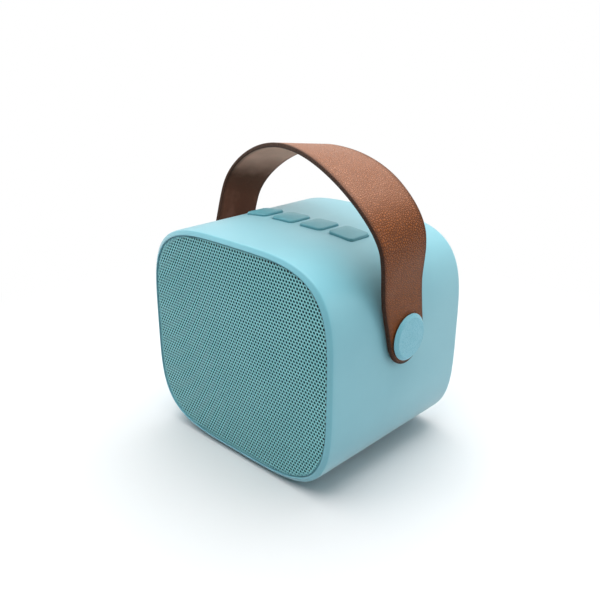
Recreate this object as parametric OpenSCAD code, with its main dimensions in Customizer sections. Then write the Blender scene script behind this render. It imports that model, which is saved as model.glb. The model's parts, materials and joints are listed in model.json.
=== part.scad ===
// Portable speaker: a rounded moulded housing with a perforated front, four keys on top
// and a leather strap handle bolted to its sides. Millimetres, +Z up, front towards -Y.
// The origin is the middle of the footprint on the surface that the feet stand on.

/* [Housing] */
// Width of the housing
body_w = 90; // [80:1:112]
// Height of the housing, without its feet
body_h = 81; // [76:1:100]
// Depth of the housing, front rim to back rim
body_d = 71.6; // [70:0.2:90]
// Squareness of the outline: 2 is an ellipse, larger values have squarer corners
square_n = 3.95; // [3:0.05:6]
// Wall of the moulded housing
wall = 2.1; // [1.8:0.1:2.6]
// Width of the bevelled front rim, which is the wall's thickness there
rim_w = 1.7; // [1.4:0.1:2]
// Depth of the front rim's bevel
rim_d = 2.3; // [1.5:0.1:3]
// Rounding of the back rim
rim_r = 1.6; // [0.8:0.1:1.8]
// Clear height under the middle of the housing
foot_lift = 0.8; // [0.5:0.1:2]
// Diameter of a rubber foot
foot_d = 9; // [6:0.5:12]

/* [Grille] */
// How far the grille lies behind the front rim
grille_recess = 1; // [0.4:0.1:1.6]
// Thickness of the grille sheet
grille_t = 0.8; // [0.6:0.1:1]
// Shadow gap between the grille and the rim
grille_gap = 0.2; // [0.1:0.05:0.5]
// Spacing of the perforations, coarser than on the real sheet
grille_pitch = 3.3; // [3:0.1:5]
// Diameter of one perforation
grille_hole_d = 1.8; // [1.2:0.1:2.4]

/* [Keys] */
// Width of a key cap
key_w = 10.4; // [8:0.1:11]
// Depth of a key cap, front to back
key_d = 11.2; // [8:0.1:12]
// Corner rounding of a key cap
key_r = 2.4; // [1.2:0.1:3]
// Spacing of the keys
key_pitch = 13.8; // [13:0.1:15]
// Height of a key cap above the housing
key_proud = 1.2; // [0.6:0.1:1.5]
// Radius of the crowned face of a key cap
key_dome_r = 45; // [30:1:80]
// Travel of a key
key_travel = 0.6; // [0.3:0.1:1]

/* [Strap] */
// Width of the leather strap
strap_w = 20; // [14:0.5:24]
// Thickness of the leather
strap_t = 1.7; // [1.2:0.1:2.4]
// Clear height of the strap's crown over the housing's edges as it swings past them
strap_spare = 10.4; // [9:0.1:20]
// Height of the arched crown above the straight legs
strap_arch = 23.3; // [20:0.1:26]
// How far the legs spread outwards on the way up
strap_flare = 1.6; // [0:0.1:2]
// Backward lean of the strap as it stands
strap_lean = 4; // [0:0.5:12]
// How much further the left leg leans back, and the right leg forward
strap_skew = 16.5; // [0:0.5:18]
// Twist of the leather at its right bend
strap_twist = 5; // [0:0.5:8]
// Height of the bolts above the middle of the housing
bolt_z = 10; // [6:0.5:16]
// Diameter of a bolt's shank
bolt_d = 6; // [4:0.5:8]
// Diameter of a bolt's round cap
cap_d = 16.4; // [14:0.2:18]
// Thickness of a bolt's round cap
cap_t = 1.5; // [1.2:0.1:2.5]
// Width of the bevel round a bolt's cap
cap_bevel = 1.2; // [0.6:0.1:1.6]

/* [Loudspeaker] */
// Outer diameter of the loudspeaker's frame
driver_d = 56; // [50:1:60]
// Diameter of the coil former
coil_d = 15.9; // [14:0.1:17]
// Diameter of the ring magnet
magnet_d = 36; // [32:1:40]
// Thickness of the ring magnet
magnet_t = 8; // [6:0.5:9]
// Travel of the cone, each way
cone_travel = 1.2; // [0.5:0.1:1.4]

/* [Inside] */
// Diameter of the battery cell
cell_d = 18.4; // [14:0.1:19]
// Length of the battery cell
cell_l = 65.2; // [50:0.1:66]
// Width of the main board
board_w = 54; // [50:1:60]
// Depth of the main board, front to back
board_d = 30; // [29:0.5:31]
// Thickness of the main board
board_t = 1.6; // [1:0.1:2]

/* [Hidden] */
$fn = 72;

// Colours
teal = "#8fc4d0";
teal_key = "#86bac7";
leather = "#8a5a42";
black = "#202326";
steel = "#b8bcc0";
green = "#2f6b4a";

// Clearances, and how far a cutting shape runs past the faces that it cuts
past = 1;
slip = 0.15;
screw_slip = 0.05;
run_slip = 0.1;
air = 0.3;

// The outline seen from the front, a rounded rectangle with bulging sides
half_w = body_w / 2;
half_h = body_h / 2;
axis_z = foot_lift + half_h;
outline_n = 80;

// Depths behind the front rim
rim_land = 0.25;
cloth_t = 0.3;
baffle_front = 5.5;
baffle_t = 3.5;
baffle_back = baffle_front + baffle_t;
ledge_w = 2.2;
ledge_t = 2;
cover_recess = 0.4;
cover_t = 2.5;
gasket_t = 0.6;
cover_front = body_d - cover_recess - cover_t;
rear_ledge = cover_front - gasket_t;

// Corner bosses and the screws in them
screw_d = 2;
screw_head_d = 4.2;
screw_head_t = 1.3;
screw_l = 9;
rear_screw_l = 7;
boss_r = 3.8;
boss_l = 12;
rear_boss_l = 8;
boss_sink = 0.3;
boss_floor = 1;
boss_at = outline_point(wall, 45) - (boss_r - boss_sink) * [cos(45), sin(45)];
head_sink = screw_head_t + air;
cross_w = 0.5;
cross_deep = 0.6;

// Loudspeaker, on the middle of the front, as depths behind the rim
driver_r = driver_d / 2;
flange_t = 1;
flange_front = baffle_front + run_slip;
flange_back = flange_front + flange_t;
driver_gasket_t = 0.5;
seat_floor = flange_back + driver_gasket_t;
seat_w = 4;
seat_bore = driver_r - seat_w;
basket_r = seat_bore - 2 * air;
basket_wall = 1.2;
basket_l = 12.6;
basket_back = flange_front + basket_l;
skin = 0.5;
driver_screw_r = driver_r - seat_w / 2 - air;
plate_t = 3;
plate_back = basket_back + plate_t;
magnet_back = plate_back + magnet_t;
yoke_t = 3;
coil_r = coil_d / 2;
former_t = 0.2;
winding_t = 0.3;
coil_air = 0.35;
pole_r = coil_r - former_t - coil_air;
plate_bore = coil_r + winding_t + coil_air;
roll_r = 1.6;
roll_at = basket_r - basket_wall - roll_r;
cone_r = roll_at - roll_r + former_t;
cone_l = 6.6;
cone_front = flange_front + air;
neck_depth = cone_front + cone_l;
spider_gap = 3;
spider_depth = basket_back - spider_gap;
former_front = neck_depth - 1;
former_back = plate_back + cone_travel;

// Battery, cradle and main board, from the floor of the housing upwards
cell_r = cell_d / 2;
cell_at = body_d - 21.5;
cradle_x = 20;
cradle_w = 6;
cradle_wall = 4;
cradle_half = cell_r + slip + cradle_wall;
cradle_base_t = 2;
cradle_base_d = 16;
floor_in = -height_at(cradle_x + cradle_w / 2, -wall) + screw_slip;
cell_clear = 1;
cell_floor = max(floor_in + cradle_base_t, -height_at(cell_l / 2, -wall));
cell_y = cell_floor + cell_clear + cell_r;
post_h = 4.4;
post_hole = 8;
board_under = cell_y + cell_r + post_h;
board_top = board_under + board_t;
board_gap = 3;
board_back = cover_front - board_gap;
post_screw_d = 1.6;
post_head_d = 3.2;
post_head_t = 1;
post_screw_l = 6;
socket_x = -9;
card_x = 10;
usb_w = 8.9;
usb_h = 3.2;
usb_l = 7.4;
card_w = 14;
card_h = 1.6;
card_l = 14.5;

// Keys, on the line across the middle of the top
key_count = 4;
key_lip = 1;
key_lip_t = 0.9;
key_clear = 0.3;
key_board_t = 1.2;
key_stack = 9;
key_board_z = axis_z + half_h - wall - key_stack;
switch_w = 6;
switch_h = 3.2;
plunger_r = 1.5;
stem_r = 1.8;
switch_floor = 1;
plunger_low = key_board_z + switch_floor + key_travel + air;
stem_low = key_board_z + switch_h + key_travel + air;
key_post_r = 2.4;
post_sink = 0.6;
key_cut = 3;
key_post_x = key_x(key_count) + key_w / 2 + key_lip + key_post_r + 2 * air;
key_post_top = axis_z + height_at(key_post_x, -wall);
key_board_half = key_post_x + key_post_r + 2 * air;
key_board_d = 13;

// Feet
foot_sink = 0.8;
foot_edge = 0.4;
foot_x = half_w - 27;
foot_depth = 13;

// Strap and bolts, at the middle of the depth
washer_t = 0.4;
strap_gap = 0.2;
strap_in = half_w + washer_t + strap_gap;
strap_mid = strap_in + strap_t / 2;
corner_reach = norm([body_d / 2, half_h - bolt_z]);
strap_leg_h = corner_reach + strap_spare - strap_arch;
arch_rise = strap_arch - strap_t / 2;
strap_r = strap_w / 2;
flare_from = strap_r + 5;
leg_heights = concat(
    [for (a = [-88, -75, -60, -45, -30, -15, 0]) strap_r * sin(a)],
    [for (k = [0:2]) flare_from + (strap_leg_h - flare_from) * k / 3]
);
arch_step = 5;
cap_in = strap_in + strap_t + strap_gap;
cap_side = 0.5;
nut_t = 4;
nut_d = 11.5;

function depth(s) = body_d / 2 - s;
function key_x(i) = (i - (key_count + 1) / 2) * key_pitch;
function squared(v) = sign(v) * pow(abs(v), 2 / square_n);
// Point of the outline moved in by inset, at a running angle
function outline_point(inset, a) = [(half_w - inset) * squared(cos(a)), (half_h - inset) * squared(sin(a))];
function outline(inset) = [for (i = [0:outline_n - 1]) outline_point(inset, 360 * i / outline_n)];
// Height above the middle at a distance x to the side, and width at a height y, moved out by o
function height_at(x, o) = (half_h + o) * pow(1 - pow(abs(x) / (half_w + o), square_n), 1 / square_n);
function width_at(y, o) = (half_w + o) * pow(1 - pow(abs(y) / (half_h + o), square_n), 1 / square_n);
function inside(x, y, o) = pow(abs(x) / (half_w + o), square_n) + pow(abs(y) / (half_h + o), square_n) < 1;
function smooth(k) = k <= 0 ? 0 : k * k * (3 - 2 * k);
// Quarter round of radius r as [inset, depth] steps, from the side to the face
function rounding(r) = [for (a = [0:18:90]) [r - r * cos(a), r - r * sin(a)]];

// Stands the housing's own frame up: x right, y up, z towards the front
module stand() {
    translate([0, 0, axis_z]) rotate([90, 0, 0]) children();
}

// Closed ring with a section carried round the outline: the section's points are
// [inset, depth], run from the outside over the front to the inside
module loft(section) {
    rings = len(section);
    points = [for (p = section, q = outline(p.x)) [q.x, q.y, depth(p.y)]];
    faces = [for (k = [0:rings - 1], i = [0:outline_n - 1], half = [0, 1])
        let (
            j = (i + 1) % outline_n,
            here = k * outline_n,
            next = ((k + 1) % rings) * outline_n
        )
        half == 0 ? [here + i, next + i, here + j] : [here + j, next + i, next + j]];
    polyhedron(points, faces);
}

// Plate in the outline moved in by inset, between two depths
module plate(inset, near, far) {
    translate([0, 0, depth(far)]) linear_extrude(far - near) polygon(outline(inset));
}

// Turned piece on the loudspeaker's axis: its points are [radius, depth behind the rim]
module turned(points) {
    stand() rotate_extrude($fn = 144) polygon([for (p = points) [p.x, depth(p.y)]]);
}

// The four corner places of bosses and screws
module at_corners() {
    for (sx = [-1, 1], sy = [-1, 1])
        translate([sx * boss_at.x, sy * boss_at.y, 0]) children();
}

// Rectangle with round corners
module soft_rect(w, d, r) {
    translate([-w / 2, r - d / 2]) square([w, d - 2 * r]);
    translate([r - w / 2, -d / 2]) square([w - 2 * r, r]);
    translate([r - w / 2, d / 2 - r]) square([w - 2 * r, r]);
    for (sx = [-1, 1], sy = [-1, 1])
        translate([sx * (w / 2 - r), sy * (d / 2 - r)]) intersection() {
            circle(r);
            translate([min(sx, 0) * r, min(sy, 0) * r]) square(r);
        }
}

// Pan-head screw along z, with its head's seat at zero and the shank below
module screw(shank_d, length, head_d, head_t) {
    translate([0, 0, -length]) cylinder(d = shank_d, h = length, $fn = 24);
    difference() {
        cylinder(d = head_d, h = head_t, $fn = 32);
        for (turn = [0, 90])
            rotate(turn) translate([-head_d / 3, -cross_w / 2, head_t - cross_deep])
                cube([head_d * 2 / 3, cross_w, head_t]);
    }
}

// Section of the housing's wall, with a ledge for the baffle and one for the rear cover
function shell_section() = let (inner = wall + ledge_w, front = baffle_back, back = rear_ledge) concat(
    [[0, rim_d], [rim_w - rim_land, 0], [rim_w, 0], [rim_w, front]],
    [[inner, front], [inner, front + ledge_t], [wall, front + ledge_t + ledge_w]],
    [[wall, back - ledge_t - ledge_w], [inner, back - ledge_t], [inner, back], [wall, back], [wall, body_d]],
    [for (i = [5:-1:0]) let (p = rounding(rim_r)[i]) [p.x, body_d - p.y]]
);

module main_shell() {
    color(teal) difference() {
        union() {
            stand() {
                loft(shell_section());
                at_corners() {
                    translate([0, 0, depth(baffle_back + boss_l)]) cylinder(r = boss_r, h = boss_l);
                    translate([0, 0, depth(rear_ledge)]) cylinder(r = boss_r, h = rear_boss_l);
                }
            }
            for (sx = [-1, 1])
                translate([sx * key_post_x, 0, key_board_z])
                    cylinder(r = key_post_r, h = key_post_top + post_sink - key_board_z);
        }
        stand() at_corners() {
            translate([0, 0, depth(baffle_back + boss_l - boss_floor)])
                cylinder(d = screw_d + 2 * screw_slip, h = boss_l, $fn = 24);
            translate([0, 0, depth(rear_ledge) - past])
                cylinder(d = screw_d + 2 * screw_slip, h = rear_boss_l - boss_floor + past, $fn = 24);
        }
        for (i = [1:key_count])
            translate([key_x(i), 0, axis_z + half_h - wall - key_cut])
                linear_extrude(wall + 2 * key_cut) key_outline(key_clear, key_r + key_clear);
        for (sx = [-1, 1])
            translate([sx * key_post_x, 0, key_board_z - past])
                cylinder(d = post_screw_d + 2 * screw_slip, h = post_screw_l + past, $fn = 24);
        translate([-body_w, 0, axis_z + bolt_z]) rotate([0, 90, 0])
            cylinder(d = bolt_d + 2 * slip, h = 2 * body_w);
        feet_places() translate([0, 0, -past])
            cylinder(d = foot_d + 2 * screw_slip, h = foot_rise + foot_sink + past);
    }
}

// Height of the housing's underside above the ground at the outer edge of a foot
foot_rise = axis_z - height_at(foot_x + foot_d / 2, 0);

module feet_places() {
    for (sx = [-1, 1], sy = [-1, 1])
        translate([sx * foot_x, sy * (body_d / 2 - foot_depth), 0]) children();
}

module feet() {
    color(black) feet_places() {
        translate([0, 0, foot_edge]) cylinder(d = foot_d, h = foot_rise + foot_sink - foot_edge);
        cylinder(d1 = foot_d - 2 * foot_edge, d2 = foot_d, h = foot_edge);
    }
}

module front_baffle() {
    color(black) difference() {
        stand() plate(rim_w + slip, baffle_front, baffle_back);
        turned([[0, 0], [driver_r + air, 0], [driver_r + air, seat_floor], [seat_bore, seat_floor],
            [seat_bore, baffle_back + 1], [0, baffle_back + 1]]);
        stand() at_corners() translate([0, 0, depth(baffle_back) - past])
            cylinder(d = screw_d + 2 * slip, h = baffle_t + 2 * past, $fn = 24);
        stand() driver_screw_places() translate([0, 0, depth(baffle_back) - past])
            cylinder(d = screw_d + 2 * screw_slip, h = baffle_t + 2 * past, $fn = 24);
    }
}

module baffle_screws() {
    color(steel) stand() at_corners() translate([0, 0, depth(baffle_front)])
        screw(screw_d, screw_l, screw_head_d, screw_head_t);
}

// Pressed sheet with a rounded rim turned back to the baffle
module grille() {
    edge = rim_w + grille_gap;
    sheet = edge + grille_t;
    back = grille_recess + grille_t;
    row_gap = grille_pitch * sin(60);
    rows = ceil(half_h / row_gap);
    columns = ceil(half_w / grille_pitch);
    border = sheet + grille_hole_d / 2 + grille_t;
    color(teal) stand() {
        loft(concat(
            [[edge, baffle_front]],
            [for (p = rounding(grille_t)) [edge + p.x, grille_recess + p.y]],
            [[sheet, baffle_front]]
        ));
        difference() {
            plate(sheet, grille_recess, back);
            for (row = [-rows:rows], column = [-columns:columns]) {
                x = (column + (row % 2 == 0 ? 0 : 0.5)) * grille_pitch;
                y = row * row_gap;
                if (inside(x, y, -border))
                    translate([x, y, depth(back) - past])
                        cylinder(d = grille_hole_d, h = grille_t + 2 * past, $fn = 16);
            }
        }
    }
}

module grille_cloth() {
    near = grille_recess + grille_t;
    color("#16282c") stand() plate(rim_w + grille_gap + grille_t + air, near, near + cloth_t);
}

module rear_cover() {
    color(teal) stand() difference() {
        plate(wall + slip, cover_front, body_d - cover_recess);
        at_corners() {
            translate([0, 0, depth(body_d)])
                cylinder(d = screw_d + 2 * slip, h = cover_t + 2 * past, $fn = 24);
            translate([0, 0, depth(body_d)])
                cylinder(d = screw_head_d + 2 * air, h = cover_recess + head_sink);
        }
        translate([socket_x, board_top + usb_h / 2, depth(body_d)])
            slot(usb_w + 2 * air, usb_h + 2 * air, cover_t + 2 * past);
        translate([card_x - card_w / 2 - air, board_top - air, depth(body_d)])
            cube([card_w + 2 * air, card_h + 2 * air, cover_t + 2 * past]);
    }
}

// Round-ended slot along z
module slot(w, h, length) {
    translate([-w / 2 + h / 2, -h / 2, 0]) cube([w - h, h, length]);
    for (sx = [-1, 1])
        translate([sx * (w - h) / 2, 0, 0]) rotate(sx > 0 ? -90 : 90)
            rotate_extrude(angle = 180) square([h / 2, length]);
}

module rear_gasket() {
    near = wall + slip;
    seal_w = 1.3;
    color(black) stand() translate([0, 0, depth(cover_front)]) linear_extrude(gasket_t) difference() {
        polygon(outline(near));
        polygon(outline(near + seal_w));
    }
}

module rear_screws() {
    color(steel) stand() at_corners() translate([0, 0, depth(body_d - cover_recess - head_sink)])
        rotate([180, 0, 0]) screw(screw_d, rear_screw_l, screw_head_d, screw_head_t);
}

module driver_screw_places() {
    for (turn = [45:90:315])
        rotate(turn) translate([driver_screw_r, 0, 0]) children();
}

module driver_frame() {
    floor_r = magnet_d / 2 + 0.4;
    neck_r = plate_bore + 0.6;
    window_low = flange_back + 3.4;
    window_high = basket_back - 2.2;
    color("#3a3f44") difference() {
        turned([[basket_r - basket_wall, flange_front], [driver_r, flange_front], [driver_r, flange_back],
            [basket_r, flange_back], [basket_r, flange_back + 2.8], [floor_r, basket_back],
            [neck_r, basket_back], [neck_r, basket_back - 1], [floor_r - 3, basket_back - 1],
            [floor_r - 3, spider_depth + 0.4], [floor_r - 0.6, spider_depth + 0.4],
            [basket_r - basket_wall, flange_back + 2.6]]);
        stand() for (turn = [14:90:284])
            rotate(turn) rotate_extrude(angle = 62)
                translate([floor_r - 1.8, depth(window_high)]) square([10, window_high - window_low]);
        stand() driver_screw_places() translate([0, 0, depth(flange_back) - past])
            cylinder(d = screw_d + 2 * slip, h = flange_t + 2 * past, $fn = 24);
    }
}

module driver_gasket() {
    color(black) difference() {
        turned([[seat_bore + 0.2, flange_back], [driver_r, flange_back], [driver_r, seat_floor],
            [seat_bore + 0.2, seat_floor]]);
        stand() driver_screw_places() translate([0, 0, depth(seat_floor) - past])
            cylinder(d = screw_d + 2 * slip, h = driver_gasket_t + 2 * past, $fn = 24);
    }
}

module driver_screws() {
    color(steel) stand() driver_screw_places() translate([0, 0, depth(flange_front)])
        screw(screw_d, baffle_back - flange_front - 0.2, screw_head_d, screw_head_t);
}

module driver_top_plate() {
    color(steel) turned([[plate_bore, basket_back], [magnet_d / 2 - 1, basket_back],
        [magnet_d / 2 - 1, plate_back], [plate_bore, plate_back]]);
}

module driver_magnet() {
    color("#2a2a2c") turned([[plate_bore + 2.4, plate_back], [magnet_d / 2, plate_back],
        [magnet_d / 2, magnet_back], [plate_bore + 2.4, magnet_back]]);
}

module driver_yoke() {
    rim = magnet_d / 2 - 0.8;
    color(steel) turned([[0, basket_back + 0.2], [pole_r, basket_back + 0.2], [pole_r, magnet_back],
        [rim, magnet_back], [rim, magnet_back + yoke_t - 0.6], [rim - 0.6, magnet_back + yoke_t],
        [0, magnet_back + yoke_t]]);
}

// Half roll of rubber between the cone's edge and the frame
module driver_surround() {
    lip_back = flange_front;
    lip_t = 0.3;
    lip_w = 1.1;
    roll_centre = depth(lip_back);
    color(black) stand() rotate_extrude($fn = 144) {
        translate([roll_at + roll_r - lip_t, roll_centre]) square([lip_w + lip_t, lip_t]);
        translate([cone_r - 1.2, roll_centre]) square([roll_at - roll_r + lip_t - cone_r + 1.2, lip_t]);
        intersection() {
            translate([roll_at, roll_centre]) difference() {
                circle(roll_r);
                circle(roll_r - lip_t);
            }
            translate([roll_at - roll_r, roll_centre]) square([2 * roll_r, roll_r]);
        }
    }
}

// Corrugated disc that centres the coil
module driver_spider() {
    outer = magnet_d / 2 - 0.4;
    inner = coil_r + 0.15;
    waves = 4;
    flat = 2;
    wave_w = (outer - flat - inner - 0.8) / waves;
    t = 0.4;
    profile = concat(
        [[inner, 0], [inner + 0.8, 0]],
        [for (i = [0:2 * waves - 1]) [inner + 0.8 + (i + 0.5) * wave_w / 2, i % 2 == 0 ? 0.5 : -0.5]],
        [[outer - flat, 0], [outer, 0]]
    );
    n = len(profile);
    color("#c8a45c") turned(concat(
        [for (p = profile) [p.x, spider_depth + p.y]],
        [for (i = [n - 1:-1:0]) [profile[i].x, spider_depth + t + profile[i].y]]
    ));
}

module driver_cone() {
    neck = coil_r + 0.1;
    bulge = 0.9;
    mid = (cone_r + neck) / 2;
    half_depth = (cone_front + neck_depth) / 2 - bulge;
    color("#2b2d30") turned([[cone_r, cone_front], [mid, half_depth], [neck, neck_depth - 0.6],
        [neck, neck_depth + 0.6], [neck + skin, neck_depth + 0.6], [neck + skin, neck_depth],
        [mid + 0.3, half_depth + skin], [cone_r, cone_front + skin]]);
}

module driver_dust_cap() {
    rim_at = coil_r + 1.5;
    rise = 2.6;
    ball = (rim_at * rim_at + rise * rise) / (2 * rise);
    t = 0.4;
    seat = neck_depth - 1.9;
    color("#232528") stand() translate([0, 0, depth(seat) - (ball - rise)]) rotate_extrude($fn = 96)
        intersection() {
            difference() {
                circle(ball);
                circle(ball - t);
            }
            translate([0, ball - rise]) square([rim_at, rise + 1]);
        }
}

module coil_former() {
    color("#b88a4a") turned([[coil_r - former_t, former_front], [coil_r, former_front],
        [coil_r, former_back], [coil_r - former_t, former_back]]);
}

module coil_winding() {
    near = basket_back - cone_travel;
    color("#b5622f") turned([[coil_r + 0.05, near], [coil_r + winding_t, near],
        [coil_r + winding_t, former_back], [coil_r + 0.05, former_back]]);
}

// Saddles that hold the cell, with posts for the main board, on one base
module battery_cradle() {
    color(black) stand() difference() {
        union() {
            translate([-cradle_x, floor_in, depth(cell_at) - cradle_base_d / 2])
                cube([2 * cradle_x, cradle_base_t, cradle_base_d]);
            for (sx = [-1, 1])
                translate([sx * cradle_x - cradle_w / 2, floor_in, depth(cell_at) - cradle_half])
                    cube([cradle_w, board_under - floor_in, 2 * cradle_half]);
        }
        translate([-body_w, cell_y, depth(cell_at)]) rotate([0, 90, 0])
            cylinder(r = cell_r + slip, h = 2 * body_w);
        translate([-body_w, cell_y, depth(cell_at) - cell_r - slip])
            cube([2 * body_w, body_h, 2 * (cell_r + slip)]);
        board_screw_places() translate([0, 0, -post_hole])
            cylinder(d = post_screw_d + 2 * screw_slip, h = post_hole + past, $fn = 24);
    }
}

// The four posts' screw places, with z turned up from the board's underside
module board_screw_places() {
    for (sx = [-1, 1], sz = [-1, 1])
        translate([sx * cradle_x, board_under, depth(cell_at) + sz * (cradle_half - cradle_wall / 2)])
            rotate([-90, 0, 0]) children();
}

module battery_cell() {
    button_d = 6;
    color("#2f5f9a") stand() translate([-cell_l / 2, cell_y, depth(cell_at)]) rotate([0, 90, 0]) {
        cylinder(r = cell_r, h = cell_l - 1.2);
        cylinder(d = button_d, h = cell_l);
    }
}

module main_board() {
    color(green) stand() difference() {
        translate([-board_w / 2, board_under, depth(board_back)]) cube([board_w, board_t, board_d]);
        board_screw_places() translate([0, 0, -past])
            cylinder(d = post_screw_d + 2 * slip, h = board_t + 2 * past, $fn = 24);
    }
}

module board_screws() {
    color(steel) stand() board_screw_places() translate([0, 0, board_t])
        screw(post_screw_d, post_screw_l, post_head_d, post_head_t);
}

// Charging socket: a thin round-ended steel shell with its tongue
module usb_socket() {
    shell_t = 0.3;
    mouth = body_d - cover_recess - 0.6;
    color(steel) stand() translate([socket_x, board_top + usb_h / 2, depth(mouth)]) {
        difference() {
            slot(usb_w, usb_h, usb_l);
            translate([0, 0, -past]) slot(usb_w - 2 * shell_t, usb_h - 2 * shell_t, usb_l);
        }
        translate([-3.2, -0.35, 0.6]) cube([6.4, 0.7, usb_l - 1.4]);
    }
}

module card_socket() {
    mouth = cover_front + 0.5;
    side = 1.3;
    skin_t = 0.4;
    color(steel) stand() translate([card_x - card_w / 2, board_top, depth(mouth)]) difference() {
        cube([card_w, card_h, card_l]);
        translate([side, skin_t, -past]) cube([card_w - 2 * side, card_h - 2 * skin_t, card_l]);
    }
}

// Places a block on the main board, from its left edge and its back edge
module on_board(x, z) {
    stand() translate([x, board_top, depth(board_back) + z]) children();
}

module board_chips() {
    color("#26282b") {
        on_board(-20, 8) cube([7, 1, 7]);
        on_board(-9, 17) cube([5, 1.4, 6]);
        on_board(-22, 19) cube([5, 1, 4]);
    }
}

module radio_module() {
    color(steel) on_board(-2.5, 16.5) cube([12, 2, 9]);
}

module board_capacitors() {
    color("#5f6a72") for (z = [15.5, 22.5])
        on_board(13.5, z) rotate([-90, 0, 0]) {
            translate([0, 0, 0.8]) cylinder(d = 6, h = 6.4);
            translate([-3.1, -3.1, 0]) cube([6.2, 6.2, 0.8]);
        }
}

module board_connectors() {
    color("#e8e4d8") for (z = [8, 15])
        on_board(20.5, z) difference() {
            cube([5.5, 4.5, 6]);
            translate([0.8, 1, 0.8]) cube([5.5, 2.6, 4.4]);
        }
}

module key_board() {
    color(green) difference() {
        translate([-key_board_half, -key_board_d / 2, key_board_z - key_board_t])
            cube([2 * key_board_half, key_board_d, key_board_t]);
        for (sx = [-1, 1])
            translate([sx * key_post_x, 0, key_board_z - key_board_t - past])
                cylinder(d = post_screw_d + 2 * slip, h = key_board_t + 2 * past, $fn = 24);
    }
}

module key_board_screws() {
    color(steel) for (sx = [-1, 1])
        translate([sx * key_post_x, 0, key_board_z - key_board_t]) rotate([180, 0, 0])
            screw(post_screw_d, post_screw_l, post_head_d, post_head_t);
}

module key_switches() {
    color(black) for (i = [1:key_count])
        translate([key_x(i), 0, key_board_z]) difference() {
            translate([-switch_w / 2, -switch_w / 2, 0]) cube([switch_w, switch_w, switch_h]);
            translate([0, 0, switch_floor]) cylinder(r = plunger_r + air, h = switch_h);
        }
}

module switch_plunger(i) {
    color("#d8d2c4") translate([key_x(i), 0, plunger_low])
        cylinder(r = plunger_r, h = stem_low - plunger_low);
}

// Outline of a key, moved out by o
module key_outline(o, r) {
    soft_rect(key_w + 2 * o, key_d + 2 * o, r);
}

// Crowned cap that follows the slope of the top, with a lip under the wall and a stem to its switch
module key_cap(i) {
    x = key_x(i);
    top = axis_z + height_at(x, 0) + key_proud;
    slope = (height_at(x - 1, 0) - height_at(x + 1, 0)) / 2;
    lip_top = axis_z + height_at(abs(x) + key_w / 2 + key_lip, -wall) - air;
    color(teal_key) translate([x, 0, 0]) {
        intersection() {
            translate([0, 0, lip_top]) linear_extrude(top + 2 - lip_top) key_outline(0, key_r);
            translate([-key_dome_r * sin(atan(slope)), 0, top - key_dome_r * cos(atan(slope))])
                sphere(key_dome_r, $fn = 180);
        }
        translate([0, 0, lip_top - key_lip_t]) linear_extrude(key_lip_t) key_outline(key_lip, key_r);
        translate([0, 0, stem_low]) cylinder(r = stem_r, h = lip_top - key_lip_t / 2 - stem_low);
    }
}

// Bolt along x with its cap's inner face at zero: a flat cap with a bevelled edge, and a plain shank
module strap_bolt(side) {
    cap_r = cap_d / 2;
    shank_l = cap_in - half_w + wall + nut_t + 2;
    color(teal) translate([side * cap_in, 0, axis_z + bolt_z]) rotate([0, side * 90, 0])
        rotate_extrude($fn = 96) polygon([[0, -shank_l], [bolt_d / 2, -shank_l], [bolt_d / 2, 0], [cap_r, 0],
            [cap_r, cap_side], [cap_r - cap_bevel, cap_t], [0, cap_t]]);
}

module strap_washers() {
    color(black) for (sx = [-1, 1])
        translate([sx * half_w, 0, axis_z + bolt_z]) rotate([0, sx * 90, 0]) difference() {
            cylinder(d = cap_d - 2, h = washer_t);
            translate([0, 0, -past]) cylinder(d = bolt_d + 2 * slip, h = washer_t + 2 * past);
        }
}

module strap_nuts() {
    face = width_at(bolt_z + nut_d / 2, -wall) - screw_slip;
    color(steel) for (sx = [-1, 1])
        translate([sx * face, 0, axis_z + bolt_z]) rotate([0, -sx * 90, 0]) difference() {
            cylinder(d = nut_d, h = nut_t, $fn = 6);
            translate([0, 0, -past]) cylinder(d = bolt_d + 2 * screw_slip, h = nut_t + 2 * past);
        }
}

// Stations along the strap's middle line: [x, height, outward x, outward height, half width, twist]
function leg_spread(w) = strap_mid + strap_flare * smooth((w - flare_from) / (strap_leg_h - flare_from));
function leg_half(w) = w < 0 ? sqrt(strap_r * strap_r - w * w) : strap_r;
function leg_station(sx, w) = [sx * leg_spread(w), w, sx, 0, leg_half(w), 0];
function arch_station(a) = let (
    reach = strap_mid + strap_flare,
    twist = a < 90 ? strap_twist * pow(sin(2 * a), 2) : 0
) [reach * cos(a), strap_leg_h + arch_rise * sin(a), cos(a) / reach, sin(a) / arch_rise, strap_r, twist];
function strap_stations() = concat(
    [for (w = leg_heights) leg_station(1, w)],
    [for (a = [0:arch_step:180]) arch_station(a)],
    [for (i = [len(leg_heights) - 1:-1:0]) leg_station(-1, leg_heights[i])]
);
// The two legs lean by different angles, and the crown between them turns from one to the other
function strap_angle(x) = strap_lean - strap_skew * x / strap_mid;
function leaned(x, y, a) = [x, y * sin(a), y * cos(a)];
function strap_place(s) = leaned(s[0], s[1], strap_angle(s[0]));
function unit(v) = v / norm(v);
// The four corners of the strap's section at station i
function strap_section(stations, i) = let (
    s = stations[i],
    before = strap_place(stations[max(i - 1, 0)]),
    after = strap_place(stations[min(i + 1, len(stations) - 1)]),
    forward = unit(after - before),
    rough = leaned(s[2], s[3], strap_angle(s[0])),
    level = unit(rough - (rough * forward) * forward),
    across = cross(forward, level),
    out = level * cos(s[5]) + across * sin(s[5]),
    back = across * cos(s[5]) - level * sin(s[5])
) [for (c = [[-1, -1], [1, -1], [1, 1], [-1, 1]])
    strap_place(s) + out * c[0] * strap_t / 2 + back * c[1] * s[4]];

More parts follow.
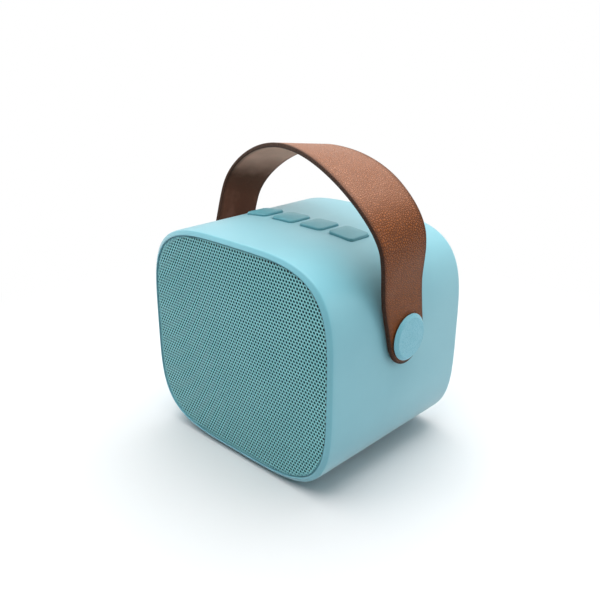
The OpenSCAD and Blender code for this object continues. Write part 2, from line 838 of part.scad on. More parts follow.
// One leather band: flat legs with round ends at the bolts and an arched, slightly skewed crown
module strap() {
    stations = strap_stations();
    n = len(stations);
    points = [for (i = [0:n - 1], p = strap_section(stations, i)) p];
    sides = [for (i = [0:n - 2], k = [0:3], half = [0, 1])
        let (a = 4 * i + k, b = 4 * i + (k + 1) % 4)
        half == 0 ? [a, a + 4, b] : [b, a + 4, b + 4]];
    last = 4 * (n - 1);
    ends = [[0, 1, 2], [0, 2, 3], [last, last + 2, last + 1], [last, last + 3, last + 2]];
    color(leather) translate([0, 0, axis_z + bolt_z]) difference() {
        polyhedron(points, concat(sides, ends));
        translate([-body_w, 0, 0]) rotate([0, 90, 0]) cylinder(d = bolt_d + 2 * run_slip, h = 2 * body_w);
    }
}

main_shell();
front_baffle();
baffle_screws();
grille();
grille_cloth();
rear_cover();
rear_gasket();
rear_screws();
feet();
driver_frame();
driver_top_plate();
driver_magnet();
driver_yoke();
driver_gasket();
driver_screws();
driver_surround();
driver_spider();
driver_cone();
driver_dust_cap();
coil_former();
coil_winding();
main_board();
board_screws();
usb_socket();
card_socket();
board_chips();
radio_module();
board_capacitors();
board_connectors();
battery_cell();
battery_cradle();
key_board();
key_board_screws();
key_switches();
key_cap(1);  // key_1
key_cap(2);  // key_2
key_cap(3);  // key_3
key_cap(4);  // key_4
switch_plunger(1);  // switch_plunger_1
switch_plunger(2);  // switch_plunger_2
switch_plunger(3);  // switch_plunger_3
switch_plunger(4);  // switch_plunger_4
strap_bolt(-1);  // strap_bolt_left
strap_bolt(1);  // strap_bolt_right
strap_washers();
strap_nuts();
strap();
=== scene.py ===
import json
import math

import bmesh
import bpy
from mathutils import Matrix, Vector


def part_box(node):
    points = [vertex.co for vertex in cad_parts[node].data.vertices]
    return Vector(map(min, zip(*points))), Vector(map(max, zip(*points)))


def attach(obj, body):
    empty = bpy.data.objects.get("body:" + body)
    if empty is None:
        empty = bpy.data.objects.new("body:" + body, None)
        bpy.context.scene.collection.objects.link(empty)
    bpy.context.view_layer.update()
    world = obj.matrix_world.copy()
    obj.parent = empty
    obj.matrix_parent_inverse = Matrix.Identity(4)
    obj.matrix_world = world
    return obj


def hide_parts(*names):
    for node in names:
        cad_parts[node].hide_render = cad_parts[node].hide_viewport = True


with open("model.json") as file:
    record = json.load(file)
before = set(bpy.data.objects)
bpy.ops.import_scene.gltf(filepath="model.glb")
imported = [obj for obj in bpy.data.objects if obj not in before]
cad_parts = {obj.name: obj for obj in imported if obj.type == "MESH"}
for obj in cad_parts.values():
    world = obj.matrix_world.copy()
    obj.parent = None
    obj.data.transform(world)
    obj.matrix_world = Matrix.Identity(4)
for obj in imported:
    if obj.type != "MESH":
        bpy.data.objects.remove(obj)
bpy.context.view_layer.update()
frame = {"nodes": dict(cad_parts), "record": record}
print("frame:", len(frame["nodes"]), "nodes")

mm = 0.001

# the moulded housing, in millimetres: x across, y front to back, z up
housing = {
    "halfWidth": 45.0,
    "halfHeight": 40.5,
    "depth": 71.6,
    "squareness": 3.95,  # 2 is an ellipse, more is squarer
    "middleZ": 41.3,
    "wall": 2.1,
    "rimWidth": 1.7,  # front rim: a low bevel and a narrow flat edge
    "rimDepth": 0.95,
    "rimSlope": 0.12,
    "rimBlend": 2.3,
    "rimEdge": 0.2,
    "rimRounds": (0.9, 0.4, 0.2, 0.1),  # reach of the rounding at its corners, from the side inwards
    "seatDepth": 1.5,  # a seat that closes the gap round the grille from behind
    "seatThick": 0.8,
    "seatWidth": 1.1,
    "undercut": 0.4,
    "ledge": 2.2,  # ledges inside the wall, for the baffle in front and the cover at the back
    "frontLedge": (9.0, 11.0, 13.2),  # behind the front: face, back, foot of the slope
    "rearLedge": (3.5, 5.5, 7.7),  # from the back edge, in the same order
    "backRound": 1.6,
    "backInnerRound": 0.25,
    "boltZ": 51.3,  # axis of the two bolts that hold the strap
    "around": 256,
}

waveUnit = 0.314  # a wave texture at a scale of 1 repeats after this length
nearAxis = 0.02  # turned shapes stop this far from their axis, where a small face closes them


def linearColour(hexText):
    parts = [int(hexText[i:i + 2], 16) / 255 for i in (1, 3, 5)]
    return (*[c / 12.92 if c <= 0.04045 else ((c + 0.055) / 1.055) ** 2.4 for c in parts], 1.0)


def addNode(tree, kind, inputs=None, **settings):
    node = tree.nodes.new(kind)
    for name, value in settings.items():
        setattr(node, name, value)
    for key, value in (inputs or {}).items():
        if isinstance(value, bpy.types.NodeSocket):
            tree.links.new(value, node.inputs[key])
        else:
            node.inputs[key].default_value = value
    return node


def newMaterial(name):
    material = bpy.data.materials.new(name)
    material.use_nodes = True
    tree = material.node_tree
    tree.nodes.clear()
    shader = addNode(tree, "ShaderNodeBsdfPrincipled")
    addNode(tree, "ShaderNodeOutputMaterial", {"Surface": shader.outputs["BSDF"]})
    return material, tree, shader


def addObject(name, data):
    item = bpy.data.objects.new(name, data)
    bpy.context.scene.collection.objects.link(item)
    return item


def newPiece(name, verts, faces, materials, sharpAngle=40):
    mesh = bpy.data.meshes.new(name)
    mesh.from_pydata([Vector(v) * mm for v in verts], [], faces)
    tidyMesh(mesh, sharpAngle)
    for material in materials:
        mesh.materials.append(material)
    return addObject(name, mesh)


def tidyMesh(mesh, sharpAngle):
    work = bmesh.new()
    work.from_mesh(mesh)
    bmesh.ops.remove_doubles(work, verts=work.verts, dist=0.002 * mm)
    bmesh.ops.recalc_face_normals(work, faces=work.faces)
    work.to_mesh(mesh)
    work.free()
    mesh.polygons.foreach_set("use_smooth", [True] * len(mesh.polygons))
    mesh.set_sharp_from_angle(angle=math.radians(sharpAngle))


def bakeModifiers(piece, finish):
    graph = bpy.context.evaluated_depsgraph_get()
    mesh = bpy.data.meshes.new_from_object(piece.evaluated_get(graph))
    piece.modifiers.clear()
    piece.data = mesh
    paintMesh(mesh, finish)


def paintMesh(mesh, finish):
    mesh.materials.clear()
    mesh.materials.append(finish)
    mesh.polygons.foreach_set("material_index", [0] * len(mesh.polygons))


def dropPiece(piece):
    mesh = piece.data
    bpy.data.objects.remove(piece)
    bpy.data.meshes.remove(mesh)


def cutAway(piece, cutter, finish):
    modifier = piece.modifiers.new("cut", "BOOLEAN")
    modifier.operation = "DIFFERENCE"
    modifier.solver = "EXACT"
    modifier.object = cutter
    bakeModifiers(piece, finish)
    dropPiece(cutter)


def loftFaces(rings, count, closed=False, capped=False):
    faces = []
    for k in range(rings if closed else rings - 1):
        here, there = k * count, ((k + 1) % rings) * count
        for i in range(count):
            j = (i + 1) % count
            faces.append((here + i, here + j, there + j, there + i))
    if capped:
        faces.append(tuple(range(count)))
        faces.append(tuple(range((rings - 1) * count, rings * count)))
    return faces


def softCorners(corners, steps=6):
    # corners of (across, along, reach): each is rounded over its reach, or left sharp where that is 0
    points = []
    for i, (a, b, reach) in enumerate(corners):
        here = Vector((a, b))
        if not reach:
            points.append((a, b))
            continue
        before = here + (Vector(corners[i - 1][:2]) - here).normalized() * reach
        after = here + (Vector(corners[(i + 1) % len(corners)][:2]) - here).normalized() * reach
        for step in range(steps + 1):
            t = step / steps
            points.append(tuple(before * (1 - t) ** 2 + here * 2 * t * (1 - t) + after * t * t))
    return points


def roundedRect(x, y, width, height, corner, steps):
    points = []
    for turn, (sx, sy) in enumerate(((1, 1), (-1, 1), (-1, -1), (1, -1))):
        for step in range(steps + 1):
            a = math.pi / 2 * (turn + step / steps)
            points.append((x + sx * (width / 2 - corner) + corner * math.cos(a),
                           y + sy * (height / 2 - corner) + corner * math.sin(a)))
    return points


def joinShapes(*shapes):
    verts, faces = [], []
    for shapeVerts, shapeFaces in shapes:
        start = len(verts)
        verts += shapeVerts
        faces += [tuple(start + i for i in face) for face in shapeFaces]
    return verts, faces


def turnedShape(profile, count, place, ring=False):
    # (radius, along) pairs carried round, put in place by a function of (across, up, along)
    # a ring's pairs go round its section, and other shapes are closed at both ends
    verts = []
    for radius, along in profile:
        for i in range(count):
            a = 2 * math.pi * i / count
            verts.append(place(radius * math.cos(a), radius * math.sin(a), along))
    return verts, loftFaces(len(profile), count, closed=ring, capped=not ring)


def finishPiece(piece, body, slot, *nodes):
    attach(piece, body)
    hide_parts(*nodes)
    return piece


# the outline seen from the front, moved in by inset
def outline(inset, count=None):
    count = count or housing["around"]
    a, b, n = housing["halfWidth"] - inset, housing["halfHeight"] - inset, housing["squareness"]
    points = []
    for i in range(count):
        turn = 2 * math.pi * i / count
        c, s = math.cos(turn), math.sin(turn)
        reach = (abs(c / a) ** n + abs(s / b) ** n) ** (-1 / n)
        points.append((reach * c, reach * s))
    return points


def topHeight(x, outset=0.0):
    n = housing["squareness"]
    share = abs(x) / (housing["halfWidth"] + outset)
    return housing["middleZ"] + (housing["halfHeight"] + outset) * (1 - share ** n) ** (1 / n)


def atDepth(points, behindRim):
    return [(x, behindRim - housing["depth"] / 2, z + housing["middleZ"]) for x, z in points]


def speckled(name, look):
    # a surface with faint patches and a fine grain: moulded, painted, cast or ground
    material, tree, shader = newMaterial(name)
    place = addNode(tree, "ShaderNodeTexCoord").outputs["Object"]
    patches = addNode(tree, "ShaderNodeTexNoise", {
        "Vector": place, "Scale": 1 / (look["patchMm"] * mm), "Detail": 3.0, "Roughness": 0.55})
    grain = addNode(tree, "ShaderNodeTexNoise", {
        "Vector": place, "Scale": 1 / (look["grainMm"] * mm), "Detail": 2.0, "Roughness": 0.6})
    spread = addNode(tree, "ShaderNodeMapRange", {
        "Value": patches.outputs["Fac"], "From Min": 0.3, "From Max": 0.7})
    colour = addNode(tree, "ShaderNodeMix", {
        0: spread.outputs["Result"],
        6: linearColour(look["dark"]),
        7: linearColour(look["light"])}, data_type="RGBA")
    gloss = addNode(tree, "ShaderNodeMapRange", {
        "Value": grain.outputs["Fac"], "From Min": 0.3, "From Max": 0.7,
        "To Min": look["roughness"][0], "To Max": look["roughness"][1]})
    relief = addNode(tree, "ShaderNodeBump", {
        "Height": grain.outputs["Fac"], "Strength": look["relief"], "Distance": look["grainMm"] * mm * 0.3})
    if "turnedMm" in look:
        # rings left by the lathe, round the bolts' axis
        centred = addNode(tree, "ShaderNodeMapping", {
            "Vector": place, "Location": (0.0, 0.0, -housing["boltZ"] * mm)})
        rings = addNode(tree, "ShaderNodeTexWave", {
            "Vector": centred.outputs["Vector"],
            "Scale": waveUnit / (look["turnedMm"] * mm), "Distortion": 0.6},
            wave_type="RINGS", rings_direction="X")
        relief = addNode(tree, "ShaderNodeBump", {
            "Height": rings.outputs["Fac"], "Strength": 0.5, "Distance": look["turnedMm"] * mm * 0.12,
            "Normal": relief.outputs["Normal"]})
    tree.links.new(colour.outputs[2], shader.inputs["Base Color"])
    tree.links.new(gloss.outputs["Result"], shader.inputs["Roughness"])
    tree.links.new(relief.outputs["Normal"], shader.inputs["Normal"])
    shader.inputs["Metallic"].default_value = look.get("metallic", 0.0)
    shader.inputs["Sheen Weight"].default_value = look.get("sheen", 0.0)
    if "ior" in look:
        shader.inputs["IOR"].default_value = look["ior"]
    return material


# soft matt lacquer on ABS: an even colour with a broad soft sheen and a barely visible orange peel
tealLacquer = speckled("soft teal lacquer on ABS", {
    "dark": "#78c2d1", "light": "#7ec7d5", "patchMm": 22, "grainMm": 0.45, "relief": 0.05,
    "roughness": (0.40, 0.46), "ior": 1.5, "sheen": 0.6})
# powder coat on perforated steel: paler, greener and duller than the lacquer, with a finely bumpy skin
tealPowderCoat = speckled("teal powder coat on steel", {
    "dark": "#94dde0", "light": "#9ce2e5", "patchMm": 14, "grainMm": 0.25, "relief": 0.12,
    "roughness": (0.46, 0.56), "ior": 1.5})
# ABS moulded in the colour, without lacquer: a shade deeper, with the slight gloss of a fine mould
tealAbs = speckled("teal moulded ABS", {
    "dark": "#60a7b4", "light": "#68aebb", "patchMm": 6, "grainMm": 0.3, "relief": 0.08,
    "roughness": (0.36, 0.44), "ior": 1.53})
# satin lacquer over the lathe's marks on the caps: a soft gloss that breaks up into rings
# the marks are drawn at 0.6 mm, coarser than a lathe leaves them, so that they show
tealSatin = speckled("satin teal lacquer on turned steel", {
    "dark": "#7cc5d6", "light": "#83cbdc", "patchMm": 5, "grainMm": 0.3, "relief": 0.06,
    "roughness": (0.24, 0.32), "ior": 1.5, "turnedMm": 0.6})
# moulded ABS with a spark-eroded texture: matt black with a fine even grain
blackAbs = speckled("black moulded ABS", {
    "dark": "#1a1c1e", "light": "#25282a", "patchMm": 8, "grainMm": 0.2, "relief": 0.3,
    "roughness": (0.5, 0.62), "ior": 1.53})
# moulded rubber: a dry black that hardly shines
mattRubber = speckled("matt black rubber", {
    "dark": "#17181a", "light": "#232527", "patchMm": 3, "grainMm": 0.15, "relief": 0.35,
    "roughness": (0.72, 0.86), "ior": 1.52})
# zinc plate on steel: pale grey metal with a blurred shine and small cloudy patches
zincSteel = speckled("zinc plated steel", {
    "dark": "#a7abaf", "light": "#c3c7ca", "patchMm": 1.6, "grainMm": 0.12, "relief": 0.12,
    "roughness": (0.26, 0.38), "metallic": 1.0})
# dip paint on pressed steel: dark grey with a dull even gloss
paintedSteel = speckled("dark painted pressed steel", {
    "dark": "#33373b", "light": "#42474c", "patchMm": 7, "grainMm": 0.25, "relief": 0.15,
    "roughness": (0.38, 0.5), "ior": 1.5})
# sintered ferrite, ground flat: dull charcoal with a stony grain
groundFerrite = speckled("ground ferrite", {
    "dark": "#232325", "light": "#343436", "patchMm": 2.5, "grainMm": 0.18, "relief": 0.25,
    "roughness": (0.55, 0.7), "ior": 1.8})
# felted paper pulp: dry black with visible fibre lumps
paperPulp = speckled("black paper pulp", {
    "dark": "#232528", "light": "#34373a", "patchMm": 1.8, "grainMm": 0.35, "relief": 0.5,
    "roughness": (0.8, 0.92), "ior": 1.45})
# polyimide film: smooth glossy amber
amberFilm = speckled("amber plastic film", {
    "dark": "#a87a3c", "light": "#c29452", "patchMm": 4, "grainMm": 0.5, "relief": 0.04,
    "roughness": (0.2, 0.3), "ior": 1.6})
# solder mask over copper and glass cloth: half-gloss green with a faint mottle
solderMask = speckled("green solder mask", {
    "dark": "#275e40", "light": "#357550", "patchMm": 2.2, "grainMm": 0.4, "relief": 0.1,
    "roughness": (0.3, 0.42), "ior": 1.5})
# tin plate, stamped: bright grey metal with a soft mirror
tinPlate = speckled("tin plated steel sheet", {
    "dark": "#b3b7ba", "light": "#cdd0d2", "patchMm": 2.4, "grainMm": 0.15, "relief": 0.08,
    "roughness": (0.22, 0.32), "metallic": 1.0})
# epoxy, transfer moulded: flat black with a fine matt grain
blackEpoxy = speckled("black moulded epoxy", {
    "dark": "#1e2022", "light": "#2a2d30", "patchMm": 1.5, "grainMm": 0.1, "relief": 0.2,
    "roughness": (0.55, 0.68), "ior": 1.55})
# deep drawn aluminium: light grey metal, slightly cloudy and softly shiny
drawnAluminium = speckled("drawn aluminium", {
    "dark": "#a4a9ad", "light": "#bcc0c3", "patchMm": 3, "grainMm": 0.15, "relief": 0.1,
    "roughness": (0.28, 0.4), "metallic": 1.0})
# undyed nylon, moulded: milky off-white with a waxy gloss
naturalNylon = speckled("off-white nylon", {
    "dark": "#dcd7c8", "light": "#ece8dc", "patchMm": 2, "grainMm": 0.2, "relief": 0.1,
    "roughness": (0.42, 0.52), "ior": 1.53})
# shrunk PVC sleeve: smooth glossy blue with slight ripples
shrinkSleeve = speckled("blue shrink sleeve", {
    "dark": "#2a568d", "light": "#3567a6", "patchMm": 9, "grainMm": 0.8, "relief": 0.08,
    "roughness": (0.24, 0.34), "ior": 1.53})


def wovenCloth(name, look):
    # plain weave: two sets of threads cross, each a row of rounded ridges
    material, tree, shader = newMaterial(name)
    place = addNode(tree, "ShaderNodeTexCoord").outputs["Object"]
    turned = addNode(tree, "ShaderNodeMapping", {"Vector": place, "Rotation": (math.pi / 2, 0.0, 0.0)})
    threads = []
    for direction in ("X", "Y"):
        threads.append(addNode(tree, "ShaderNodeTexWave", {
            "Vector": turned.outputs["Vector"],
            "Scale": waveUnit / (look["threadMm"] * mm), "Distortion": 0.4},
            wave_type="BANDS", bands_direction=direction, wave_profile="SIN"))
    weave = addNode(tree, "ShaderNodeMath", {
        0: threads[0].outputs["Fac"], 1: threads[1].outputs["Fac"]}, operation="MULTIPLY")
    colour = addNode(tree, "ShaderNodeMix", {
        0: weave.outputs["Value"], 6: linearColour(look["dark"]), 7: linearColour(look["light"])},
        data_type="RGBA")
    relief = addNode(tree, "ShaderNodeBump", {
        "Height": weave.outputs["Value"], "Strength": 0.6, "Distance": look["threadMm"] * mm * 0.4})
    tree.links.new(colour.outputs[2], shader.inputs["Base Color"])
    tree.links.new(relief.outputs["Normal"], shader.inputs["Normal"])
    shader.inputs["Roughness"].default_value = 0.9
    shader.inputs["Specular IOR Level"].default_value = 0.1
    return material


# dyed polyester, woven: very dark teal that swallows light behind the holes
dustCloth = wovenCloth("dark teal woven dust cloth", {
    "threadMm": 0.25, "dark": "#083c42", "light": "#0f545b"})
# cotton dipped in resin, woven and pressed: golden brown with a coarse thread
resinCloth = wovenCloth("resin dipped cotton cloth", {
    "threadMm": 0.5, "dark": "#a88446", "light": "#d2b06a"})


def windingWire(name, look):
    # enamelled wire laid in close turns along the coil
    material, tree, shader = newMaterial(name)
    place = addNode(tree, "ShaderNodeTexCoord").outputs["Object"]
    turns = addNode(tree, "ShaderNodeTexWave", {
        "Vector": place, "Scale": waveUnit / (look["wireMm"] * mm)}, wave_type="BANDS", bands_direction="Y")
    colour = addNode(tree, "ShaderNodeMix", {
        0: turns.outputs["Fac"], 6: linearColour(look["dark"]), 7: linearColour(look["light"])},
        data_type="RGBA")
    relief = addNode(tree, "ShaderNodeBump", {
        "Height": turns.outputs["Fac"], "Strength": 0.8, "Distance": look["wireMm"] * mm * 0.5})
    tree.links.new(colour.outputs[2], shader.inputs["Base Color"])
    tree.links.new(relief.outputs["Normal"], shader.inputs["Normal"])
    shader.inputs["Metallic"].default_value = 1.0
    shader.inputs["Roughness"].default_value = 0.3
    return material


# enamelled copper, wound in close turns: reddish metal with fine bright lines
# the wire is drawn at 0.3 mm, coarser than in a small coil, so that the turns show
copperWire = windingWire("enamelled copper wire", {
    "wireMm": 0.3, "dark": "#8f4a20", "light": "#c9743c"})

leather = {
    "pebbleMm": 0.75,
    "wanderMm": 1.6,  # the pebbles' outlines are bent out of shape over this length
    "wanderBy": 0.9,
    "napMm": 0.35,
    "patchMm": 11,
    "reliefMm": 0.2,
    "crease": "#42210f",
    "pebble": "#a65b24",
    "paleBendAndLit": "#b27a5c",  # paler where it is bent: partly the pull-up of waxed leather, partly a painted highlight where light falls on the bends
    "edge": "#2a150b",
    "edgeFibre": "#472b1b",
    "suede": "#784836",
    "suedeDark": "#5e3a2b",
    # the suede's colour round the bends: a painted highlight where light reaches the underside of the crown
    "suedePaleBendAndLit": "#e0a08a",
    "sheenTint": "#ffcfa8",
}


def pebbledLeather():
    # dyed leather with a pebbled grain: warm brown pebbles with darker creases and a waxy shine,
    # paler where it is bent (partly pull-up, partly a painted highlight), with a dark cut edge and dull
    # suede inside
    material, tree, shader = newMaterial("pebbled brown leather")
    flat = addNode(tree, "ShaderNodeUVMap", uv_map="strapMetres").outputs["UV"]
    wander = addNode(tree, "ShaderNodeTexNoise", {
        "Vector": flat, "Scale": 1 / (leather["wanderMm"] * mm), "Detail": 2.0})
    shift = addNode(tree, "ShaderNodeVectorMath", {
        0: wander.outputs["Color"], 1: (0.5, 0.5, 0.5)}, operation="SUBTRACT")
    bent = addNode(tree, "ShaderNodeVectorMath", {
        0: shift.outputs["Vector"], 2: flat,
        1: (leather["wanderBy"] * mm, leather["wanderBy"] * mm, 0.0)}, operation="MULTIPLY_ADD")
    cells = addNode(tree, "ShaderNodeTexVoronoi", {
        "Vector": bent.outputs["Vector"], "Scale": 1 / (leather["pebbleMm"] * mm), "Randomness": 1.0},
        feature="DISTANCE_TO_EDGE", voronoi_dimensions="2D")
    pebbles = addNode(tree, "ShaderNodeMapRange", {
        "Value": cells.outputs["Distance"], "From Min": 0.0, "From Max": 0.42},
        interpolation_type="SMOOTHERSTEP")
    fine = addNode(tree, "ShaderNodeTexNoise", {
        "Vector": flat, "Scale": 1 / (leather["napMm"] * mm), "Detail": 3.0})
    broad = addNode(tree, "ShaderNodeTexNoise", {
        "Vector": flat, "Scale": 1 / (leather["patchMm"] * mm), "Detail": 3.0})
    pullUpAndLight = addNode(tree, "ShaderNodeAttribute", attribute_name="pullUpAndLight", attribute_type="GEOMETRY")
    uneven = addNode(tree, "ShaderNodeMapRange", {
        "Value": broad.outputs["Fac"], "From Min": 0.35, "From Max": 0.68, "To Min": -0.12, "To Max": 0.12})
    paler = addNode(tree, "ShaderNodeMath", {
        0: pullUpAndLight.outputs["Fac"], 1: uneven.outputs["Result"]}, operation="ADD", use_clamp=True)
    # the pebbles go paler round the bends: partly the leather's pull-up, partly a painted highlight
    tops = addNode(tree, "ShaderNodeMix", {
        0: paler.outputs["Value"],
        6: linearColour(leather["pebble"]), 7: linearColour(leather["paleBendAndLit"])}, data_type="RGBA")
    shallow = addNode(tree, "ShaderNodeMapRange", {
        "Value": paler.outputs["Value"], "To Min": 0.22, "To Max": 0.62})
    shaded = addNode(tree, "ShaderNodeMapRange", {
        "Value": pebbles.outputs["Result"], "To Min": shallow.outputs["Result"], "To Max": 1.0})
    grainColour = addNode(tree, "ShaderNodeMix", {
        0: shaded.outputs["Result"], 6: linearColour(leather["crease"]), 7: tops.outputs[2]},
        data_type="RGBA")
    suedeNap = addNode(tree, "ShaderNodeMix", {
        0: fine.outputs["Fac"], 6: linearColour(leather["suedeDark"]), 7: linearColour(leather["suede"])},
        data_type="RGBA")
    # the suede goes paler round the bends: a painted highlight under the crown
    suedeColour = addNode(tree, "ShaderNodeMix", {
        0: paler.outputs["Value"], 6: suedeNap.outputs[2], 7: linearColour(leather["suedePaleBendAndLit"])},
        data_type="RGBA")
    edgeColour = addNode(tree, "ShaderNodeMix", {
        0: fine.outputs["Fac"], 6: linearColour(leather["edge"]), 7: linearColour(leather["edgeFibre"])},
        data_type="RGBA")
    inside = addNode(tree, "ShaderNodeAttribute", attribute_name="fleshSide", attribute_type="GEOMETRY")
    cut = addNode(tree, "ShaderNodeAttribute", attribute_name="cutEdge", attribute_type="GEOMETRY")
    faces = addNode(tree, "ShaderNodeMix", {
        0: inside.outputs["Fac"], 6: grainColour.outputs[2], 7: suedeColour.outputs[2]}, data_type="RGBA")
    colour = addNode(tree, "ShaderNodeMix", {
        0: cut.outputs["Fac"], 6: faces.outputs[2], 7: edgeColour.outputs[2]}, data_type="RGBA")
    height = addNode(tree, "ShaderNodeMix", {
        0: inside.outputs["Fac"], 2: pebbles.outputs["Result"], 3: fine.outputs["Fac"]}, data_type="FLOAT")
    relief = addNode(tree, "ShaderNodeBump", {
        "Height": height.outputs[0], "Strength": 0.75, "Distance": leather["reliefMm"] * mm})
    faceGloss = addNode(tree, "ShaderNodeMapRange", {
        "Value": inside.outputs["Fac"], "To Min": 0.42, "To Max": 0.9})
    gloss = addNode(tree, "ShaderNodeMapRange", {
        "Value": cut.outputs["Fac"], "To Min": faceGloss.outputs["Result"], "To Max": 0.6})
    tree.links.new(colour.outputs[2], shader.inputs["Base Color"])
    tree.links.new(gloss.outputs["Result"], shader.inputs["Roughness"])
    tree.links.new(relief.outputs["Normal"], shader.inputs["Normal"])
    shader.inputs["IOR"].default_value = 1.4
    shader.inputs["Specular IOR Level"].default_value = 0.3
    shader.inputs["Sheen Weight"].default_value = 0.12
    shader.inputs["Sheen Roughness"].default_value = 0.3
    shader.inputs["Sheen Tint"].default_value = linearColour(leather["sheenTint"])
    return material


brownLeather = pebbledLeather()

slotFinishes = {
    "teal_paint": tealLacquer,
    "grille_paint": tealPowderCoat,
    "key_plastic": tealAbs,
    "cap_paint": tealSatin,
    "strap_leather": brownLeather,
    "black_plastic": blackAbs,
    "rubber": mattRubber,
    "dust_cloth": dustCloth,
    "spider_cloth": resinCloth,
    "screw_steel": zincSteel,
    "frame_steel": paintedSteel,
    "magnet_ferrite": groundFerrite,
    "pole_steel": zincSteel,
    "cone_paper": paperPulp,
    "former_film": amberFilm,
    "copper_wire": copperWire,
    "circuit_board": solderMask,
    "socket_steel": tinPlate,
    "chip_plastic": blackEpoxy,
    "capacitor_can": drawnAluminium,
    "white_plastic": naturalNylon,
    "cell_sleeve": shrinkSleeve,
}
for entry in frame["record"]["subparts"]:
    shown = frame["nodes"][entry["node"]]
    for place in shown.material_slots:
        place.material = slotFinishes[entry["material_slot"]]
print("materials:", len(bpy.data.materials))


# one template at each point of a mesh
def makePlacer():
    tree = bpy.data.node_groups.new("placeAtPoints", "GeometryNodeTree")
    face = tree.interface
    face.new_socket("Points", in_out="INPUT", socket_type="NodeSocketGeometry")
    face.new_socket("Template", in_out="INPUT", socket_type="NodeSocketObject")
    face.new_socket("Finish", in_out="INPUT", socket_type="NodeSocketMaterial")
    face.new_socket("Pieces", in_out="OUTPUT", socket_type="NodeSocketGeometry")
    source = addNode(tree, "NodeGroupInput").outputs
    shape = addNode(tree, "GeometryNodeObjectInfo", {
        "Object": source["Template"]}, transform_space="ORIGINAL")
    spread = addNode(tree, "GeometryNodeInstanceOnPoints", {
        "Points": source["Points"], "Instance": shape.outputs["Geometry"]})
    solid = addNode(tree, "GeometryNodeRealizeInstances", {"Geometry": spread.outputs["Instances"]})
    painted = addNode(tree, "GeometryNodeSetMaterial", {
        "Geometry": solid.outputs["Geometry"], "Material": source["Finish"]})
    addNode(tree, "NodeGroupOutput", {"Pieces": painted.outputs["Geometry"]})
    return tree


placer = makePlacer()


def setInputs(modifier, values):
    for item in modifier.node_group.interface.items_tree:
        if item.item_type == "SOCKET" and item.in_out == "INPUT" and item.name in values:
            modifier[item.identifier] = values[item.name]


def placedCopies(name, points, template, finish, sharpAngle=40):
    mesh = bpy.data.meshes.new(name)
    mesh.from_pydata([Vector(p) * mm for p in points], [], [])
    piece = addObject(name, mesh)
    modifier = piece.modifiers.new("copies", "NODES")
    modifier.node_group = placer
    setInputs(modifier, {"Template": template, "Finish": finish})
    bakeModifiers(piece, finish)
    tidyMesh(piece.data, sharpAngle)
    dropPiece(template)
    return piece


# keys: crowned caps with a soft edge, a hidden lip and a stem
keys = {
    "width": 10.4,
    "depth": 10.6,
    "corner": 1.7,
    "pitch": 13.8,
    "proud": 1.2,
    "domeRadius": 45.0,
    "edgeRound": 0.35,
    "gap": 0.3,
    "lip": 1.0,
    "lipThick": 0.9,
    "lipAir": 0.3,
    "stemRadius": 1.8,
    "stemLow": 74.8,
    "stemSides": 32,
    "cornerSteps": 8,
    "edgeSteps": 6,
    "crownRings": (0.85, 0.65, 0.45, 0.25, 0.08),  # shares of the outline, towards the middle
    "openingHeights": (30.0, 50.0),  # above the housing's middle, through its top wall
}


# a key's outline, moved out by outset
def keyOutline(outset, corner):
    width, depth = keys["width"] + 2 * outset, keys["depth"] + 2 * outset
    return roundedRect(0.0, 0.0, width, depth, corner, keys["cornerSteps"])


def keyShape(x):
    n = 4 * (keys["cornerSteps"] + 1)
    top = topHeight(x) + keys["proud"]
    tilt = math.atan((topHeight(x - 1) - topHeight(x + 1)) / 2)
    radius = keys["domeRadius"]
    domeX, domeZ = -radius * math.sin(tilt), top - radius * math.cos(tilt)
    lipTop = topHeight(abs(x) + keys["width"] / 2 + keys["lip"], -housing["wall"]) - keys["lipAir"]
    lipLow = lipTop - keys["lipThick"]

    def dome(px, py):
        return domeZ + math.sqrt(radius ** 2 - (px - domeX) ** 2 - py ** 2)

    verts = [(x + px, py, lipTop) for px, py in keyOutline(0.0, keys["corner"])]
    rings = 1
    for step in range(keys["edgeSteps"] + 1):  # soft edge
        a = math.pi / 2 * step / keys["edgeSteps"]
        inset = keys["edgeRound"] * (1 - math.cos(a))
        drop = keys["edgeRound"] * (1 - math.sin(a))
        ring = keyOutline(-inset, keys["corner"] - inset)
        verts += [(x + px, py, dome(px, py) - drop) for px, py in ring]
        rings += 1
    inner = keyOutline(-keys["edgeRound"], keys["corner"] - keys["edgeRound"])
    for share in keys["crownRings"]:
        verts += [(x + px * share, py * share, dome(px * share, py * share)) for px, py in inner]
        rings += 1
    cap = (verts, loftFaces(rings, n, capped=True))
    wide = keyOutline(keys["lip"], keys["corner"])
    lip = ([(x + px, py, z) for z in (lipLow, lipTop) for px, py in wide], loftFaces(2, n, capped=True))
    stemEnds = [(keys["stemRadius"], keys["stemLow"]), (keys["stemRadius"], lipLow)]
    stem = turnedShape(stemEnds, keys["stemSides"], lambda a, b, c: (x + a, b, c))
    return joinShapes(cap, lip, stem)


keyPlaces = [(i - 2.5) * keys["pitch"] for i in range(1, 5)]
for number, x in enumerate(keyPlaces, 1):
    cap = newPiece("keyCap%d" % number, *keyShape(x), [tealAbs], 35)
    finishPiece(cap, "key_%d" % number, "key_plastic", "key_%d" % number)
print("keys:", len(keyPlaces))


